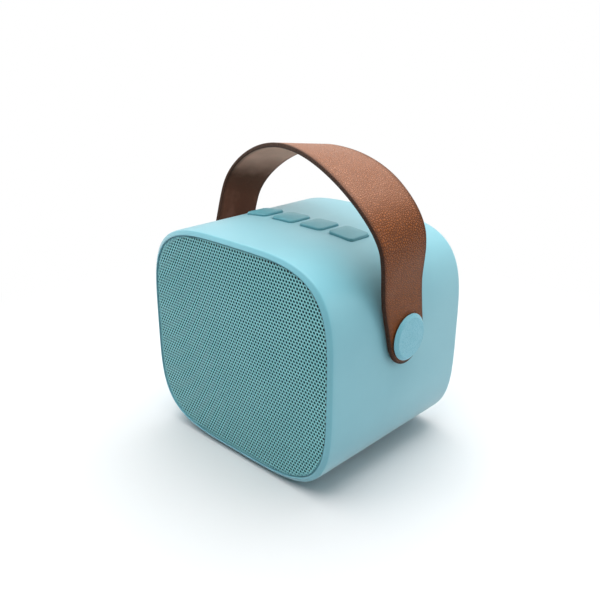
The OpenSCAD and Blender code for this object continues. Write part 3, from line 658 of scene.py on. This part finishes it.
# housing shell: one section carried round the outline, with the key openings cut through
def shellProfile():
    deep, wall, rim = housing["depth"], housing["wall"], housing["rimWidth"]
    ledge, slot = wall + housing["ledge"], rim - housing["undercut"]
    seat, seatEdge = housing["seatDepth"], rim + housing["seatWidth"]
    seatBack = seat + housing["seatThick"]
    sideRound, slopeRound, edgeRound, innerRound = housing["rimRounds"]
    face, back, foot = housing["frontLedge"]
    rearFace, rearBack, rearFoot = (deep - d for d in housing["rearLedge"])
    return softCorners([
        (0.0, housing["rimBlend"], sideRound), (housing["rimSlope"], housing["rimDepth"], slopeRound),
        (rim - housing["rimEdge"], 0.0, edgeRound), (rim, 0.0, innerRound),
        (rim, seat, 0), (seatEdge, seat, 0), (seatEdge, seatBack, 0), (slot, seatBack, 0),
        (slot, face, 0), (ledge, face, 0), (ledge, back, 0), (wall, foot, 0),
        (wall, rearFoot, 0), (ledge, rearBack, 0), (ledge, rearFace, 0), (wall, rearFace, 0),
        (wall, deep, housing["backInnerRound"]), (0.0, deep, housing["backRound"])], 8)


def shellPiece():
    profile = shellProfile()
    verts = [v for inset, behind in profile for v in atDepth(outline(inset), behind)]
    faces = loftFaces(len(profile), housing["around"], closed=True)
    shell = newPiece("housingShell", verts, faces, [tealLacquer])
    opening = keyOutline(keys["gap"], keys["corner"] + keys["gap"])
    heights = [housing["middleZ"] + rise for rise in keys["openingHeights"]]
    cuts = [([(x + px, py, z) for z in heights for px, py in opening],
             loftFaces(2, len(opening), capped=True)) for x in keyPlaces]
    cutAway(shell, newPiece("keyOpenings", *joinShapes(*cuts), [tealLacquer]), tealLacquer)
    tidyMesh(shell.data, 32)
    return shell


shell = finishPiece(shellPiece(), "housing", "teal_paint", "main_shell")
print("shell:", len(shell.data.polygons), "faces")

# grille: a flat sheet with fine round perforations in a triangular pattern, with a narrow gap to the rim
grille = {
    "recess": 0.36,
    "thick": 0.12,
    "edgeInset": 2.2,
    "pitch": 1.313,
    "holeRadius": 0.51,
    "holeSides": 8,
    "overrun": 0.8,  # the field of holes goes on past the sheet's edge, which cuts through them
    "around": 256,
}


def makePerforator():
    tree = bpy.data.node_groups.new("perforatedSheet", "GeometryNodeTree")
    face = tree.interface
    face.new_socket("Outline", in_out="INPUT", socket_type="NodeSocketGeometry")
    face.new_socket("Tile", in_out="INPUT", socket_type="NodeSocketObject")
    for name in ("Field Width", "Field Height", "Row Gap", "Squareness", "Thickness"):
        face.new_socket(name, in_out="INPUT", socket_type="NodeSocketFloat")
    face.new_socket("Half Size", in_out="INPUT", socket_type="NodeSocketVector")
    for name in ("Columns", "Rows"):
        face.new_socket(name, in_out="INPUT", socket_type="NodeSocketInt")
    face.new_socket("Finish", in_out="INPUT", socket_type="NodeSocketMaterial")
    face.new_socket("Sheet", in_out="OUTPUT", socket_type="NodeSocketGeometry")
    source = addNode(tree, "NodeGroupInput").outputs
    grid = addNode(tree, "GeometryNodeMeshGrid", {
        "Size X": source["Field Width"], "Size Y": source["Field Height"],
        "Vertices X": source["Columns"], "Vertices Y": source["Rows"]})
    # every second row moves over by half a pitch
    spot = addNode(tree, "GeometryNodeInputPosition").outputs["Position"]
    height = addNode(tree, "ShaderNodeSeparateXYZ", {"Vector": spot}).outputs["Y"]
    zigzag = addNode(tree, "ShaderNodeMath", {0: height, 1: source["Row Gap"]}, operation="PINGPONG")
    aside = addNode(tree, "ShaderNodeMath", {
        0: zigzag.outputs["Value"], 1: math.tan(math.radians(30))}, operation="MULTIPLY")
    shift = addNode(tree, "ShaderNodeCombineXYZ", {"X": aside.outputs["Value"]})
    shifted = addNode(tree, "GeometryNodeSetPosition", {
        "Geometry": grid.outputs["Mesh"], "Offset": shift.outputs["Vector"]})
    # only the points inside the outline stay
    scaled = addNode(tree, "ShaderNodeVectorMath", {0: spot, 1: source["Half Size"]}, operation="DIVIDE")
    folded = addNode(tree, "ShaderNodeVectorMath", {0: scaled.outputs["Vector"]}, operation="ABSOLUTE")
    share = addNode(tree, "ShaderNodeSeparateXYZ", {"Vector": folded.outputs["Vector"]}).outputs
    powerX = addNode(tree, "ShaderNodeMath", {0: share["X"], 1: source["Squareness"]}, operation="POWER")
    powerY = addNode(tree, "ShaderNodeMath", {0: share["Y"], 1: source["Squareness"]}, operation="POWER")
    total = addNode(tree, "ShaderNodeMath", {
        0: powerX.outputs["Value"], 1: powerY.outputs["Value"]}, operation="ADD")
    outside = addNode(tree, "ShaderNodeMath", {0: total.outputs["Value"], 1: 1.0}, operation="GREATER_THAN")
    kept = addNode(tree, "GeometryNodeDeleteGeometry", {
        "Geometry": shifted.outputs["Geometry"], "Selection": outside.outputs["Value"]}, domain="POINT")
    # a six-sided tile with a hole at each point, joined edge to edge
    tile = addNode(tree, "GeometryNodeObjectInfo", {"Object": source["Tile"]}, transform_space="ORIGINAL")
    spread = addNode(tree, "GeometryNodeInstanceOnPoints", {
        "Points": kept.outputs["Geometry"], "Instance": tile.outputs["Geometry"]})
    loose = addNode(tree, "GeometryNodeRealizeInstances", {"Geometry": spread.outputs["Instances"]})
    field = addNode(tree, "GeometryNodeMergeByDistance", {
        "Geometry": loose.outputs["Geometry"], "Distance": 0.01 * mm})
    # the field and the outline each become a slab, and the sheet is where both are
    outer = addNode(tree, "GeometryNodeMeshToCurve", {"Mesh": source["Outline"]})
    plate = addNode(tree, "GeometryNodeFillCurve", {"Curve": outer.outputs["Curve"]}, mode="NGONS")
    below = addNode(tree, "ShaderNodeMath", {0: source["Thickness"], 1: -1.0}, operation="MULTIPLY")
    lower = addNode(tree, "ShaderNodeCombineXYZ", {"Z": below.outputs["Value"]})
    under = addNode(tree, "GeometryNodeSetPosition", {
        "Geometry": plate.outputs["Mesh"], "Offset": lower.outputs["Vector"]})
    taller = addNode(tree, "ShaderNodeMath", {0: source["Thickness"], 1: 3.0}, operation="MULTIPLY")
    slabs = []
    for flat, height in ((field.outputs["Geometry"], source["Thickness"]),
                         (under.outputs["Geometry"], taller.outputs["Value"])):
        raised = addNode(tree, "GeometryNodeExtrudeMesh", {
            "Mesh": flat, "Offset Scale": height, "Individual": False}, mode="FACES")
        backFace = addNode(tree, "GeometryNodeFlipFaces", {"Mesh": flat})
        both = addNode(tree, "GeometryNodeJoinGeometry")
        tree.links.new(raised.outputs["Mesh"], both.inputs[0])
        tree.links.new(backFace.outputs["Mesh"], both.inputs[0])
        slabs.append(addNode(tree, "GeometryNodeMergeByDistance", {
            "Geometry": both.outputs["Geometry"], "Distance": 0.01 * mm}))
    closed = addNode(tree, "GeometryNodeMeshBoolean", operation="INTERSECT", solver="MANIFOLD")
    for slab in slabs:
        tree.links.new(slab.outputs["Geometry"], closed.inputs["Mesh 2"])
    solid = addNode(tree, "GeometryNodeRealizeInstances", {"Geometry": closed.outputs["Mesh"]})
    painted = addNode(tree, "GeometryNodeSetMaterial", {
        "Geometry": solid.outputs["Geometry"], "Material": source["Finish"]})
    addNode(tree, "NodeGroupOutput", {"Sheet": painted.outputs["Geometry"]})
    return tree


def holeTile():
    sides, start = grille["holeSides"], math.radians(30)
    reach = grille["pitch"] / math.sqrt(3)
    verts = [(reach * math.cos(start + math.pi / 3 * i), reach * math.sin(start + math.pi / 3 * i), 0.0)
             for i in range(6)]
    verts += [(grille["holeRadius"] * math.cos(start + 2 * math.pi * j / sides),
               grille["holeRadius"] * math.sin(start + 2 * math.pi * j / sides), 0.0) for j in range(sides)]
    faces, i, j = [], 0, 0
    while i < 6 or j < sides:
        if (i + 1) / 6 <= (j + 1) / sides:
            faces.append((i % 6, (i + 1) % 6, 6 + j % sides))
            i += 1
        else:
            faces.append((i % 6, 6 + (j + 1) % sides, 6 + j % sides))
            j += 1
    mesh = bpy.data.meshes.new("holeTile")
    mesh.from_pydata([Vector(v) * mm for v in verts], [], faces)
    return addObject("holeTile", mesh)


def grillePiece():
    loop = [(x * mm, z * mm, 0.0) for x, z in outline(grille["edgeInset"], grille["around"])]
    mesh = bpy.data.meshes.new("grilleSheet")
    mesh.from_pydata(loop, [(i, (i + 1) % len(loop)) for i in range(len(loop))], [])
    sheet = addObject("grilleSheet", mesh)
    modifier = sheet.modifiers.new("perforations", "NODES")
    modifier.node_group = makePerforator()
    tile = holeTile()
    rowGap = grille["pitch"] * math.sin(math.radians(60))
    halfWidth = housing["halfWidth"] - grille["edgeInset"] + grille["overrun"]
    halfHeight = housing["halfHeight"] - grille["edgeInset"] + grille["overrun"]
    columns = 2 * math.ceil(halfWidth / grille["pitch"]) + 3
    rows = 2 * math.ceil(halfHeight / rowGap) + 1
    setInputs(modifier, {
        "Tile": tile, "Field Width": (columns - 1) * grille["pitch"] * mm,
        "Field Height": (rows - 1) * rowGap * mm, "Row Gap": rowGap * mm,
        "Half Size": (halfWidth * mm, halfHeight * mm, 1.0), "Squareness": housing["squareness"],
        "Thickness": grille["thick"] * mm, "Columns": columns, "Rows": rows, "Finish": tealPowderCoat})
    bakeModifiers(sheet, tealPowderCoat)
    dropPiece(tile)
    # stand the sheet up: its face looks to the front
    sheetBack = grille["recess"] + grille["thick"]
    stand = Matrix.Translation((0, (sheetBack - housing["depth"] / 2) * mm, housing["middleZ"] * mm))
    sheet.data.transform(stand @ Matrix.Rotation(math.pi / 2, 4, "X"))
    sheet.data.polygons.foreach_set("use_smooth", [True] * len(sheet.data.polygons))
    sheet.data.set_sharp_from_angle(angle=math.radians(30))
    return sheet


sheet = finishPiece(grillePiece(), "housing", "grille_paint", "grille")

# dust cloth: a woven sheet drawn tight across the back of the grille
cloth = {"around": 96, "rings": 6}


def clothPiece():
    low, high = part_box("grille_cloth")
    edge = outline(housing["halfWidth"] - high[0] / mm, cloth["around"])
    front = grille["recess"] + grille["thick"] - housing["depth"] / 2
    back = front + (high[1] - low[1]) / mm
    verts = []
    for y, steps in ((front, range(1, cloth["rings"] + 1)), (back, range(cloth["rings"], 0, -1))):
        for step in steps:
            share = step / cloth["rings"]
            verts += [(x * share, y, housing["middleZ"] + z * share) for x, z in edge]
    faces = loftFaces(2 * cloth["rings"], cloth["around"], capped=True)
    piece = newPiece("dustCloth", verts, faces, [dustCloth])
    finishPiece(piece, "housing", "dust_cloth", "grille_cloth")


clothPiece()
print("grille:", len(sheet.data.polygons), "faces, with its cloth")

# strap: one leather band from bolt to bolt, bent over the top
strap = {
    "middleX": 46.45,
    "flare": 1.6,
    "flareFrom": 15.0,
    "legHeight": 34.13,
    "rise": 22.45,
    "lean": 4.0,  # degrees back
    "skew": 16.5,  # degrees that the two legs lean apart from that
    "twist": 5.5,  # degrees that the band turns about its front edge in the right bend
    "twistFrom": 10.0,
    "endTaper": 0.8,  # each side, towards the bolts
    "taperTo": 16.0,
    "paleAndLitFrom": 5.0,  # degrees round the bend where the paler leather and its painted highlight start
    "paleAndLitOver": 40.0,
    "leftLater": 8.0,  # the left bend's paleness and painted highlight start that much further up
    "twistGone": (40.0, 90.0),  # degrees round the bend, over which the twist fades out
    "halfWidth": 10.0,
    "thick": 1.7,
    "edgeRound": 0.5,
    "edgeSteps": (0.0, 0.05, 0.16, 0.32),  # from the edge inwards, where the rounding has a line of points
    "cutFade": (0.2, 0.8),  # from the edge inwards, over which the cut edge's colour ends
    "across": 14,
    "endTurns": (0.6, 4, 9, 15, 22, 30, 39, 49, 60, 72, 84),  # sections round the end, in degrees
    "legHeights": (0.0, 4.0, 8.0, 12.0),  # sections of the leg's straight stretch
    "flareSections": 12,
    "archSections": 90,
}


def easeIn(value, low, high):
    k = min(max((value - low) / (high - low), 0.0), 1.0)
    return k * k * (3 - 2 * k)


def strapStations():
    # (across, up, normal across, normal up, twist, pullUpAndLight), from the right bolt over the top to the
    # left
    stations = []
    reach, turned = strap["middleX"] + strap["flare"], math.radians(strap["twist"])
    flareHeight, parts = strap["legHeight"] - strap["flareFrom"], strap["flareSections"]
    heights = [-strap["halfWidth"] * math.cos(math.radians(a)) for a in strap["endTurns"]]
    heights += strap["legHeights"]
    heights += [strap["flareFrom"] + flareHeight * k / parts for k in range(parts)]
    for w in heights:
        x = strap["middleX"] + strap["flare"] * easeIn(w, strap["flareFrom"], strap["legHeight"])
        stations.append((x, w, 1.0, 0.0, turned * easeIn(w, strap["twistFrom"], strap["legHeight"]), 0.0))
    arch = []
    for step in range(strap["archSections"] + 1):
        a = math.pi * step / strap["archSections"]
        onRight = step < strap["archSections"] / 2
        # how pale each bend is drawn: partly the leather's pull-up, partly a painted highlight
        bend = math.degrees(a) if onRight else math.degrees(math.pi - a) - strap["leftLater"]
        arch.append((reach * math.cos(a), strap["legHeight"] + strap["rise"] * math.sin(a),
                     math.cos(a) / reach, math.sin(a) / strap["rise"],
                     turned * (1 - easeIn(math.degrees(a), *strap["twistGone"])),
                     easeIn(bend, strap["paleAndLitFrom"], strap["paleAndLitFrom"] + strap["paleAndLitOver"])))
    mirrored = [(-x, w, -nx, nw, 0.0, 0.0) for x, w, nx, nw, twist, pullUpAndLight in reversed(stations)]
    return stations + arch + mirrored


def strapLean(x):
    return math.radians(strap["lean"] - strap["skew"] * x / strap["middleX"])


def strapPiece():
    stations = strapStations()
    places = []
    for x, w in (station[:2] for station in stations):
        places.append(Vector((x, w * math.sin(strapLean(x)), w * math.cos(strapLean(x)))))
    thick, soft = strap["thick"] / 2, strap["edgeRound"]
    verts, flats, cut, flesh, pullUpAndLightValues = [], [], [], [], []
    run = 0.0
    for i, (x, w, nx, nw, twist, pullUpAndLight) in enumerate(stations):
        if i:
            run += (places[i] - places[i - 1]).length
        forward = (places[min(i + 1, len(places) - 1)] - places[max(i - 1, 0)]).normalized()
        rough = Vector((nx, nw * math.sin(strapLean(x)), nw * math.cos(strapLean(x))))
        level = (rough - rough.dot(forward) * forward).normalized()
        sideways = forward.cross(level)
        out = level * math.cos(twist) - sideways * math.sin(twist)
        back = sideways * math.cos(twist) + level * math.sin(twist)
        half = strap["halfWidth"] - strap["endTaper"] * (1 - easeIn(w, 0.0, strap["taperTo"]))
        width = max(half * math.sqrt(max(1 - (min(w, 0.0) / strap["halfWidth"]) ** 2, 0.0)), 0.03)
        middle = places[i] + level * half * math.sin(twist) + Vector((0, 0, housing["boltZ"]))
        near = [min(d, 0.45 * width) for d in (*strap["edgeSteps"], soft)]
        inner = width - near[-1]
        spans = [-width + d for d in near]
        spans += [-inner + 2 * inner * k / strap["across"] for k in range(1, strap["across"])]
        spans += [width - d for d in reversed(near)]
        for side in (1, -1):
            for u in (spans if side > 0 else reversed(spans)):
                margin = half - math.hypot(u, w) if w < 0 else half - abs(u)
                lack = soft - min(max(margin, 0.0), soft)
                v = thick - soft + math.sqrt(max(soft * soft - lack * lack, 0.0))
                verts.append(middle + out * side * v + back * u)
                flats.append((run * mm, u * mm))
                cut.append(1 - easeIn(margin, *strap["cutFade"]))
                flesh.append(1.0 if side < 0 else 0.0)
                pullUpAndLightValues.append(pullUpAndLight)
    faces = loftFaces(len(stations), 2 * len(spans), capped=True)
    mesh = bpy.data.meshes.new("leatherStrap")
    mesh.from_pydata([v * mm for v in verts], [], faces)
    uvLayer = mesh.uv_layers.new(name="strapMetres")
    for loop in mesh.loops:
        uvLayer.data[loop.index].uv = flats[loop.vertex_index]
    # pullUpAndLight carries the bends' paleness, partly pull-up and partly painted highlight
    for name, values in (("cutEdge", cut), ("fleshSide", flesh), ("pullUpAndLight", pullUpAndLightValues)):
        mesh.attributes.new(name, "FLOAT", "POINT").data.foreach_set("value", values)
    work = bmesh.new()
    work.from_mesh(mesh)
    bmesh.ops.recalc_face_normals(work, faces=work.faces)
    work.to_mesh(mesh)
    work.free()
    mesh.polygons.foreach_set("use_smooth", [True] * len(mesh.polygons))
    mesh.set_sharp_from_angle(angle=math.radians(60))
    mesh.materials.append(brownLeather)
    return addObject("leatherStrap", mesh)


finishPiece(strapPiece(), "strap", "strap_leather", "strap")
print("strap done")

# bolt caps: turned discs with a bevelled edge, each on its shank
caps = {
    "inner": 47.5,
    "thick": 1.5,
    "radius": 8.2,
    "side": 0.5,
    "bevel": 1.2,
    "edgeRound": 0.16,
    "undercut": 0.7,  # the rim stands clear of the leather
    "undercutRise": 0.35,
    "undercutRound": 0.05,
    "shankRadius": 3.0,
    "shankRound": 0.4,
    "shankEnd": 36.9,
    "around": 128,
}


def capProfile():
    r, soft, low = caps["radius"], caps["edgeRound"], caps["inner"]
    top, shank, end = low + caps["thick"], caps["shankRadius"], caps["shankEnd"]
    return softCorners([
        (nearAxis, end, 0), (shank, end, caps["shankRound"]), (shank, low, 0),
        (r - caps["undercut"], low, 0), (r, low + caps["undercutRise"], caps["undercutRound"]),
        (r, low + caps["side"], soft), (r - caps["bevel"], top, soft), (nearAxis, top, 0)])


for side, name in ((-1, "left"), (1, "right")):
    shape = turnedShape(capProfile(), caps["around"],
                        lambda a, b, c: (side * c, a, housing["boltZ"] + b))
    cap = newPiece("boltCap" + name.capitalize(), *shape, [tealSatin], 40)
    finishPiece(cap, "housing", "cap_paint", "strap_bolt_" + name)
print("caps done")

# rear cover: a flat plate with rounded edges, slots for two sockets and sunk screws
cover = {
    "inset": 2.25,
    "front": 68.7,
    "thick": 2.5,
    "edgeRound": 0.3,
    "sinkRadius": 2.4,
    "seat": 0.9,
    "seatRadii": (1.15, 2.45),
    "seatSides": 32,
    "screwInset": 3.5,
    "socketX": -9.0,
    "socketSize": (9.5, 3.8),
    "cardX": 10.0,
    "cardSize": (14.6, 2.2),
    "cardCorner": 0.5,
    "cornerSteps": 10,
}


def screwPlaces():
    n = housing["squareness"]
    reach = math.cos(math.radians(45)) ** (2 / n)
    inset = cover["screwInset"] * math.cos(math.radians(45))
    x = (housing["halfWidth"] - housing["wall"]) * reach - inset
    z = (housing["halfHeight"] - housing["wall"]) * reach - inset
    return [(sx * x, sz * z) for sx in (-1, 1) for sz in (-1, 1)]


def coverPiece():
    socketLow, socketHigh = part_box("usb_socket")
    cardLow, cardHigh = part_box("card_socket")
    socketZ = (socketLow.z + socketHigh.z) / 2 / mm - housing["middleZ"]
    cardZ = (cardLow.z + cardHigh.z) / 2 / mm - housing["middleZ"]
    steps, sink = cover["cornerSteps"], cover["sinkRadius"]
    lines = [outline(cover["inset"])]
    socketRound = cover["socketSize"][1] / 2
    lines.append(roundedRect(cover["socketX"], socketZ, *cover["socketSize"], socketRound, steps))
    lines.append(roundedRect(cover["cardX"], cardZ, *cover["cardSize"], cover["cardCorner"], steps))
    for x, z in screwPlaces():
        lines.append(roundedRect(x, z, 2 * sink, 2 * sink, sink, steps))
    curve = bpy.data.curves.new("rearCover", "CURVE")
    curve.dimensions = "2D"
    curve.fill_mode = "BOTH"
    curve.extrude = (cover["thick"] / 2 - cover["edgeRound"]) * mm
    curve.bevel_depth = cover["edgeRound"] * mm
    curve.bevel_resolution = 3
    curve.offset = -cover["edgeRound"] * mm
    for line in lines:
        spline = curve.splines.new("POLY")
        spline.points.add(len(line) - 1)
        for point, (x, z) in zip(spline.points, line):
            point.co = (x * mm, z * mm, 0.0, 1.0)
        spline.use_cyclic_u = True
    plate = addObject("rearCoverCurve", curve)
    mesh = bpy.data.meshes.new_from_object(plate.evaluated_get(bpy.context.evaluated_depsgraph_get()))
    bpy.data.objects.remove(plate)
    middle = cover["front"] + cover["thick"] / 2 - housing["depth"] / 2
    stand = Matrix.Translation((0, middle * mm, housing["middleZ"] * mm))
    mesh.transform(stand @ Matrix.Rotation(math.pi / 2, 4, "X"))
    # floors under the screw heads
    seats = []
    bore, rim = cover["seatRadii"]
    low = cover["front"] - housing["depth"] / 2
    section = [(bore, low), (rim, low), (rim, low + cover["seat"]), (bore, low + cover["seat"])]
    for x, z in screwPlaces():
        seats.append(turnedShape(section, cover["seatSides"], lambda a, b, c: (
            x + a, c, housing["middleZ"] + z + b), ring=True))
    floors = newPiece("screwSeats", *joinShapes(*seats), [tealLacquer])
    work = bmesh.new()
    work.from_mesh(mesh)
    bmesh.ops.remove_doubles(work, verts=work.verts, dist=0.002 * mm)
    bmesh.ops.recalc_face_normals(work, faces=work.faces)
    work.from_mesh(floors.data)
    work.to_mesh(mesh)
    work.free()
    dropPiece(floors)
    mesh.polygons.foreach_set("use_smooth", [True] * len(mesh.polygons))
    mesh.set_sharp_from_angle(angle=math.radians(30))
    paintMesh(mesh, tealLacquer)
    return addObject("rearCover", mesh)


finishPiece(coverPiece(), "housing", "teal_paint", "rear_cover")

# rear screws: pan heads with a cross recess
screw = {
    "headRadius": 2.1,
    "headHeight": 1.3,
    "brim": 0.52,  # straight part of the head, below its dome
    "domeSteps": 8,
    "shankRadius": 1.0,
    "length": 7.0,
    "tip": 0.4,
    "recess": 0.7,
    "arm": 0.45,
    "armLength": 2.4,
    "armTaper": 0.55,  # the recess's size at its floor, as a share of that at its top
    "cutPast": 0.5,
    "around": 40,
}


def screwTemplate():
    top, brim, end = screw["headHeight"], screw["brim"], -screw["length"]
    shank, wide = screw["shankRadius"], screw["headRadius"]
    profile = [(nearAxis, end), (shank, end + screw["tip"]), (shank, 0.0), (wide, 0.0), (wide, brim)]
    for step in range(1, screw["domeSteps"]):
        a = math.pi / 2 * step / screw["domeSteps"]
        profile.append((wide * math.cos(a), brim + (top - brim) * math.sin(a)))
    profile.append((nearAxis, top))
    shape = turnedShape(profile, screw["around"], lambda a, b, c: (a, c, b))
    head = newPiece("screwHead", *shape, [zincSteel])
    for across, up in ((screw["arm"], screw["armLength"]), (screw["armLength"], screw["arm"])):
        box = []
        for along, share in ((top - screw["recess"], screw["armTaper"]), (top + screw["cutPast"], 1.0)):
            box += [(sx * across / 2 * share, along, sz * up / 2 * share)
                    for sx, sz in ((1, 1), (-1, 1), (-1, -1), (1, -1))]
        cutAway(head, newPiece("crossArm", box, loftFaces(2, 4, capped=True), [zincSteel]), zincSteel)
    return head


seatDepth = cover["front"] + cover["seat"] - housing["depth"] / 2
screws = placedCopies("rearScrews", [(x, seatDepth, housing["middleZ"] + z) for x, z in screwPlaces()],
                      screwTemplate(), zincSteel, 30)
finishPiece(screws, "housing", "screw_steel", "rear_screws")

# feet: moulded rubber discs pressed into the underside
feet = {
    "radius": 4.5,
    "height": 2.0,
    "edgeRound": 0.5,
    "edgeSteps": 6,
    "hollow": ((nearAxis, 0.12), (1.6, 0.1)),  # (radius, depth) of the shallow hollow in the sole
    "soleWidth": 0.9,  # flat ring that stands on the table
    "x": 18.0,
    "y": 22.8,
    "around": 64,
}


def footTemplate():
    r, soft = feet["radius"], feet["edgeRound"]
    profile = [*feet["hollow"], (r - soft - feet["soleWidth"], 0.0), (r - soft, 0.0)]
    for step in range(1, feet["edgeSteps"] + 1):
        a = math.pi / 2 * step / feet["edgeSteps"]
        profile.append((r - soft + soft * math.sin(a), soft - soft * math.cos(a)))
    profile += [(r, feet["height"]), (nearAxis, feet["height"])]
    shape = turnedShape(profile, feet["around"], lambda a, b, c: (a, b, c))
    return newPiece("footDisc", *shape, [mattRubber])


footPlaces = [(sx * feet["x"], sy * feet["y"], 0.0) for sx in (-1, 1) for sy in (-1, 1)]
finishPiece(placedCopies("rubberFeet", footPlaces, footTemplate(), mattRubber), "housing", "rubber", "feet")
print("back and underside done")

# camera at the photograph's angle
view = {
    "place": (0.17204, -0.18283, 0.14891),
    "azimuth": 43.633,
    "elevation": 21.216,
    "roll": 0.255,
    "focalPixels": 717.436,
    "imagePixels": 600,
}
azimuth, elevation, roll = (math.radians(view[k]) for k in ("azimuth", "elevation", "roll"))
backward = Vector((math.sin(azimuth) * math.cos(elevation), -math.cos(azimuth) * math.cos(elevation),
                   math.sin(elevation)))
level = Vector((math.cos(azimuth), math.sin(azimuth), 0.0))
rise = backward.cross(level)
right = math.cos(roll) * level + math.sin(roll) * rise
upward = math.cos(roll) * rise - math.sin(roll) * level
cameraData = bpy.data.cameras.new("camera")
cameraData.sensor_width = 36.0
cameraData.lens = view["focalPixels"] * cameraData.sensor_width / view["imagePixels"]
cameraData.clip_start = 0.01
camera = addObject("camera", cameraData)
turn = Matrix((right, upward, backward)).transposed().to_4x4()
camera.matrix_world = Matrix.Translation(view["place"]) @ turn
bpy.context.scene.camera = camera

# floor, lamps and world
studio = {
    "floorHalf": 3.0,  # metres
    "fibreMm": 0.4,
    "paper": "#e6e8e9",  # as the lens and mirrors see it
    "paperBounce": "#c9cdd0",  # as it throws light back at the object
    "fadeFrom": 0.08,  # metres from the middle, over which the paper goes over into the white backdrop
    "fadeTo": 0.22,
    "horizon": 0.02,  # the white tent, darker towards the front and the horizon than overhead
    "zenith": 1.18,
    "tentAxis": (-0.25, 0.71, 0.85),
    "lamps": (  # name, place, aim, size in metres, watts
        ("overheadBox", (0.0, -0.3, 0.8), (0.0, 0.0, 0.05), 0.7, 4.2),
        ("backBox", (-0.1, 0.25, 0.8), (0.0, 0.0, 0.05), 0.7, 3.1),
        ("rightBox", (0.75, 0.5, 0.35), (0.0, 0.0, 0.05), 0.5, 1.1),
    ),
}


def seenRays(tree):
    # 1 for what the lens, mirrors and glass look at, 0 for light on its way to other surfaces
    path = addNode(tree, "ShaderNodeLightPath").outputs
    either = addNode(tree, "ShaderNodeMath", {
        0: path["Is Camera Ray"], 1: path["Is Glossy Ray"]}, operation="MAXIMUM")
    anySeen = addNode(tree, "ShaderNodeMath", {
        0: either.outputs["Value"], 1: path["Is Transmission Ray"]}, operation="MAXIMUM")
    return anySeen.outputs["Value"]


def studioFloor():
    mesh = bpy.data.meshes.new("studioFloor")
    half = studio["floorHalf"]
    corners = [(sx * half, sy * half, 0) for sx, sy in ((-1, -1), (1, -1), (1, 1), (-1, 1))]
    mesh.from_pydata(corners, [], [(0, 1, 2, 3)])
    # heavy uncoated paper: flat white with no shine and a trace of fibre
    material, tree, shader = newMaterial("matt white paper sweep")
    place = addNode(tree, "ShaderNodeTexCoord").outputs["Object"]
    seen = seenRays(tree)
    colour = addNode(tree, "ShaderNodeMix", {
        0: seen,
        6: linearColour(studio["paperBounce"]),
        7: linearColour(studio["paper"])}, data_type="RGBA")
    fibres = addNode(tree, "ShaderNodeTexNoise", {
        "Vector": place, "Scale": 1 / (studio["fibreMm"] * mm), "Detail": 2.0})
    relief = addNode(tree, "ShaderNodeBump", {
        "Height": fibres.outputs["Fac"], "Strength": 0.05, "Distance": 0.05 * mm})
    tree.links.new(colour.outputs[2], shader.inputs["Base Color"])
    tree.links.new(relief.outputs["Normal"], shader.inputs["Normal"])
    shader.inputs["Roughness"].default_value = 0.9
    shader.inputs["Specular IOR Level"].default_value = 0.1
    # further out the paper is the white backdrop
    away = addNode(tree, "ShaderNodeVectorMath", {0: place}, operation="LENGTH")
    fade = addNode(tree, "ShaderNodeMapRange", {
        "Value": away.outputs["Value"], "From Min": studio["fadeFrom"], "From Max": studio["fadeTo"]},
        interpolation_type="SMOOTHSTEP")
    share = addNode(tree, "ShaderNodeMath", {0: fade.outputs["Result"], 1: seen}, operation="MULTIPLY")
    backdrop = addNode(tree, "ShaderNodeEmission", {"Color": (1.0, 1.0, 1.0, 1.0), "Strength": 1.0})
    sweep = addNode(tree, "ShaderNodeMixShader", {
        0: share.outputs["Value"], 1: shader.outputs["BSDF"], 2: backdrop.outputs["Emission"]})
    output = next(node for node in tree.nodes if node.type == "OUTPUT_MATERIAL")
    tree.links.new(sweep.outputs["Shader"], output.inputs["Surface"])
    mesh.materials.append(material)
    floor = addObject("studioFloor", mesh)


def studioLight():
    for name, place, target, size, watts in studio["lamps"]:
        lamp = bpy.data.lights.new(name, "AREA")
        lamp.size = size
        lamp.energy = watts
        holder = addObject(name, lamp)
        aim = (Vector(target) - Vector(place)).to_track_quat("-Z", "Y")
        holder.matrix_world = Matrix.Translation(place) @ aim.to_matrix().to_4x4()
    world = bpy.data.worlds.new("white tent")
    bpy.context.scene.world = world
    world.use_nodes = True
    tree = world.node_tree
    tree.nodes.clear()
    heading = addNode(tree, "ShaderNodeTexCoord").outputs["Generated"]
    facing = addNode(tree, "ShaderNodeVectorMath", {
        0: heading, 1: Vector(studio["tentAxis"]).normalized()}, operation="DOT_PRODUCT")
    dome = addNode(tree, "ShaderNodeMapRange", {
        "Value": facing.outputs["Value"], "To Min": studio["horizon"], "To Max": studio["zenith"]})
    strength = addNode(tree, "ShaderNodeMapRange", {
        "Value": seenRays(tree), "To Min": dome.outputs["Result"], "To Max": 1.0})
    tent = addNode(tree, "ShaderNodeBackground", {
        "Color": (1.0, 1.0, 1.0, 1.0), "Strength": strength.outputs["Result"]})
    addNode(tree, "ShaderNodeOutputWorld", {"Surface": tent.outputs["Background"]})


studioFloor()
studioLight()
bpy.context.scene.view_settings.view_transform = "Standard"
print("studio done")
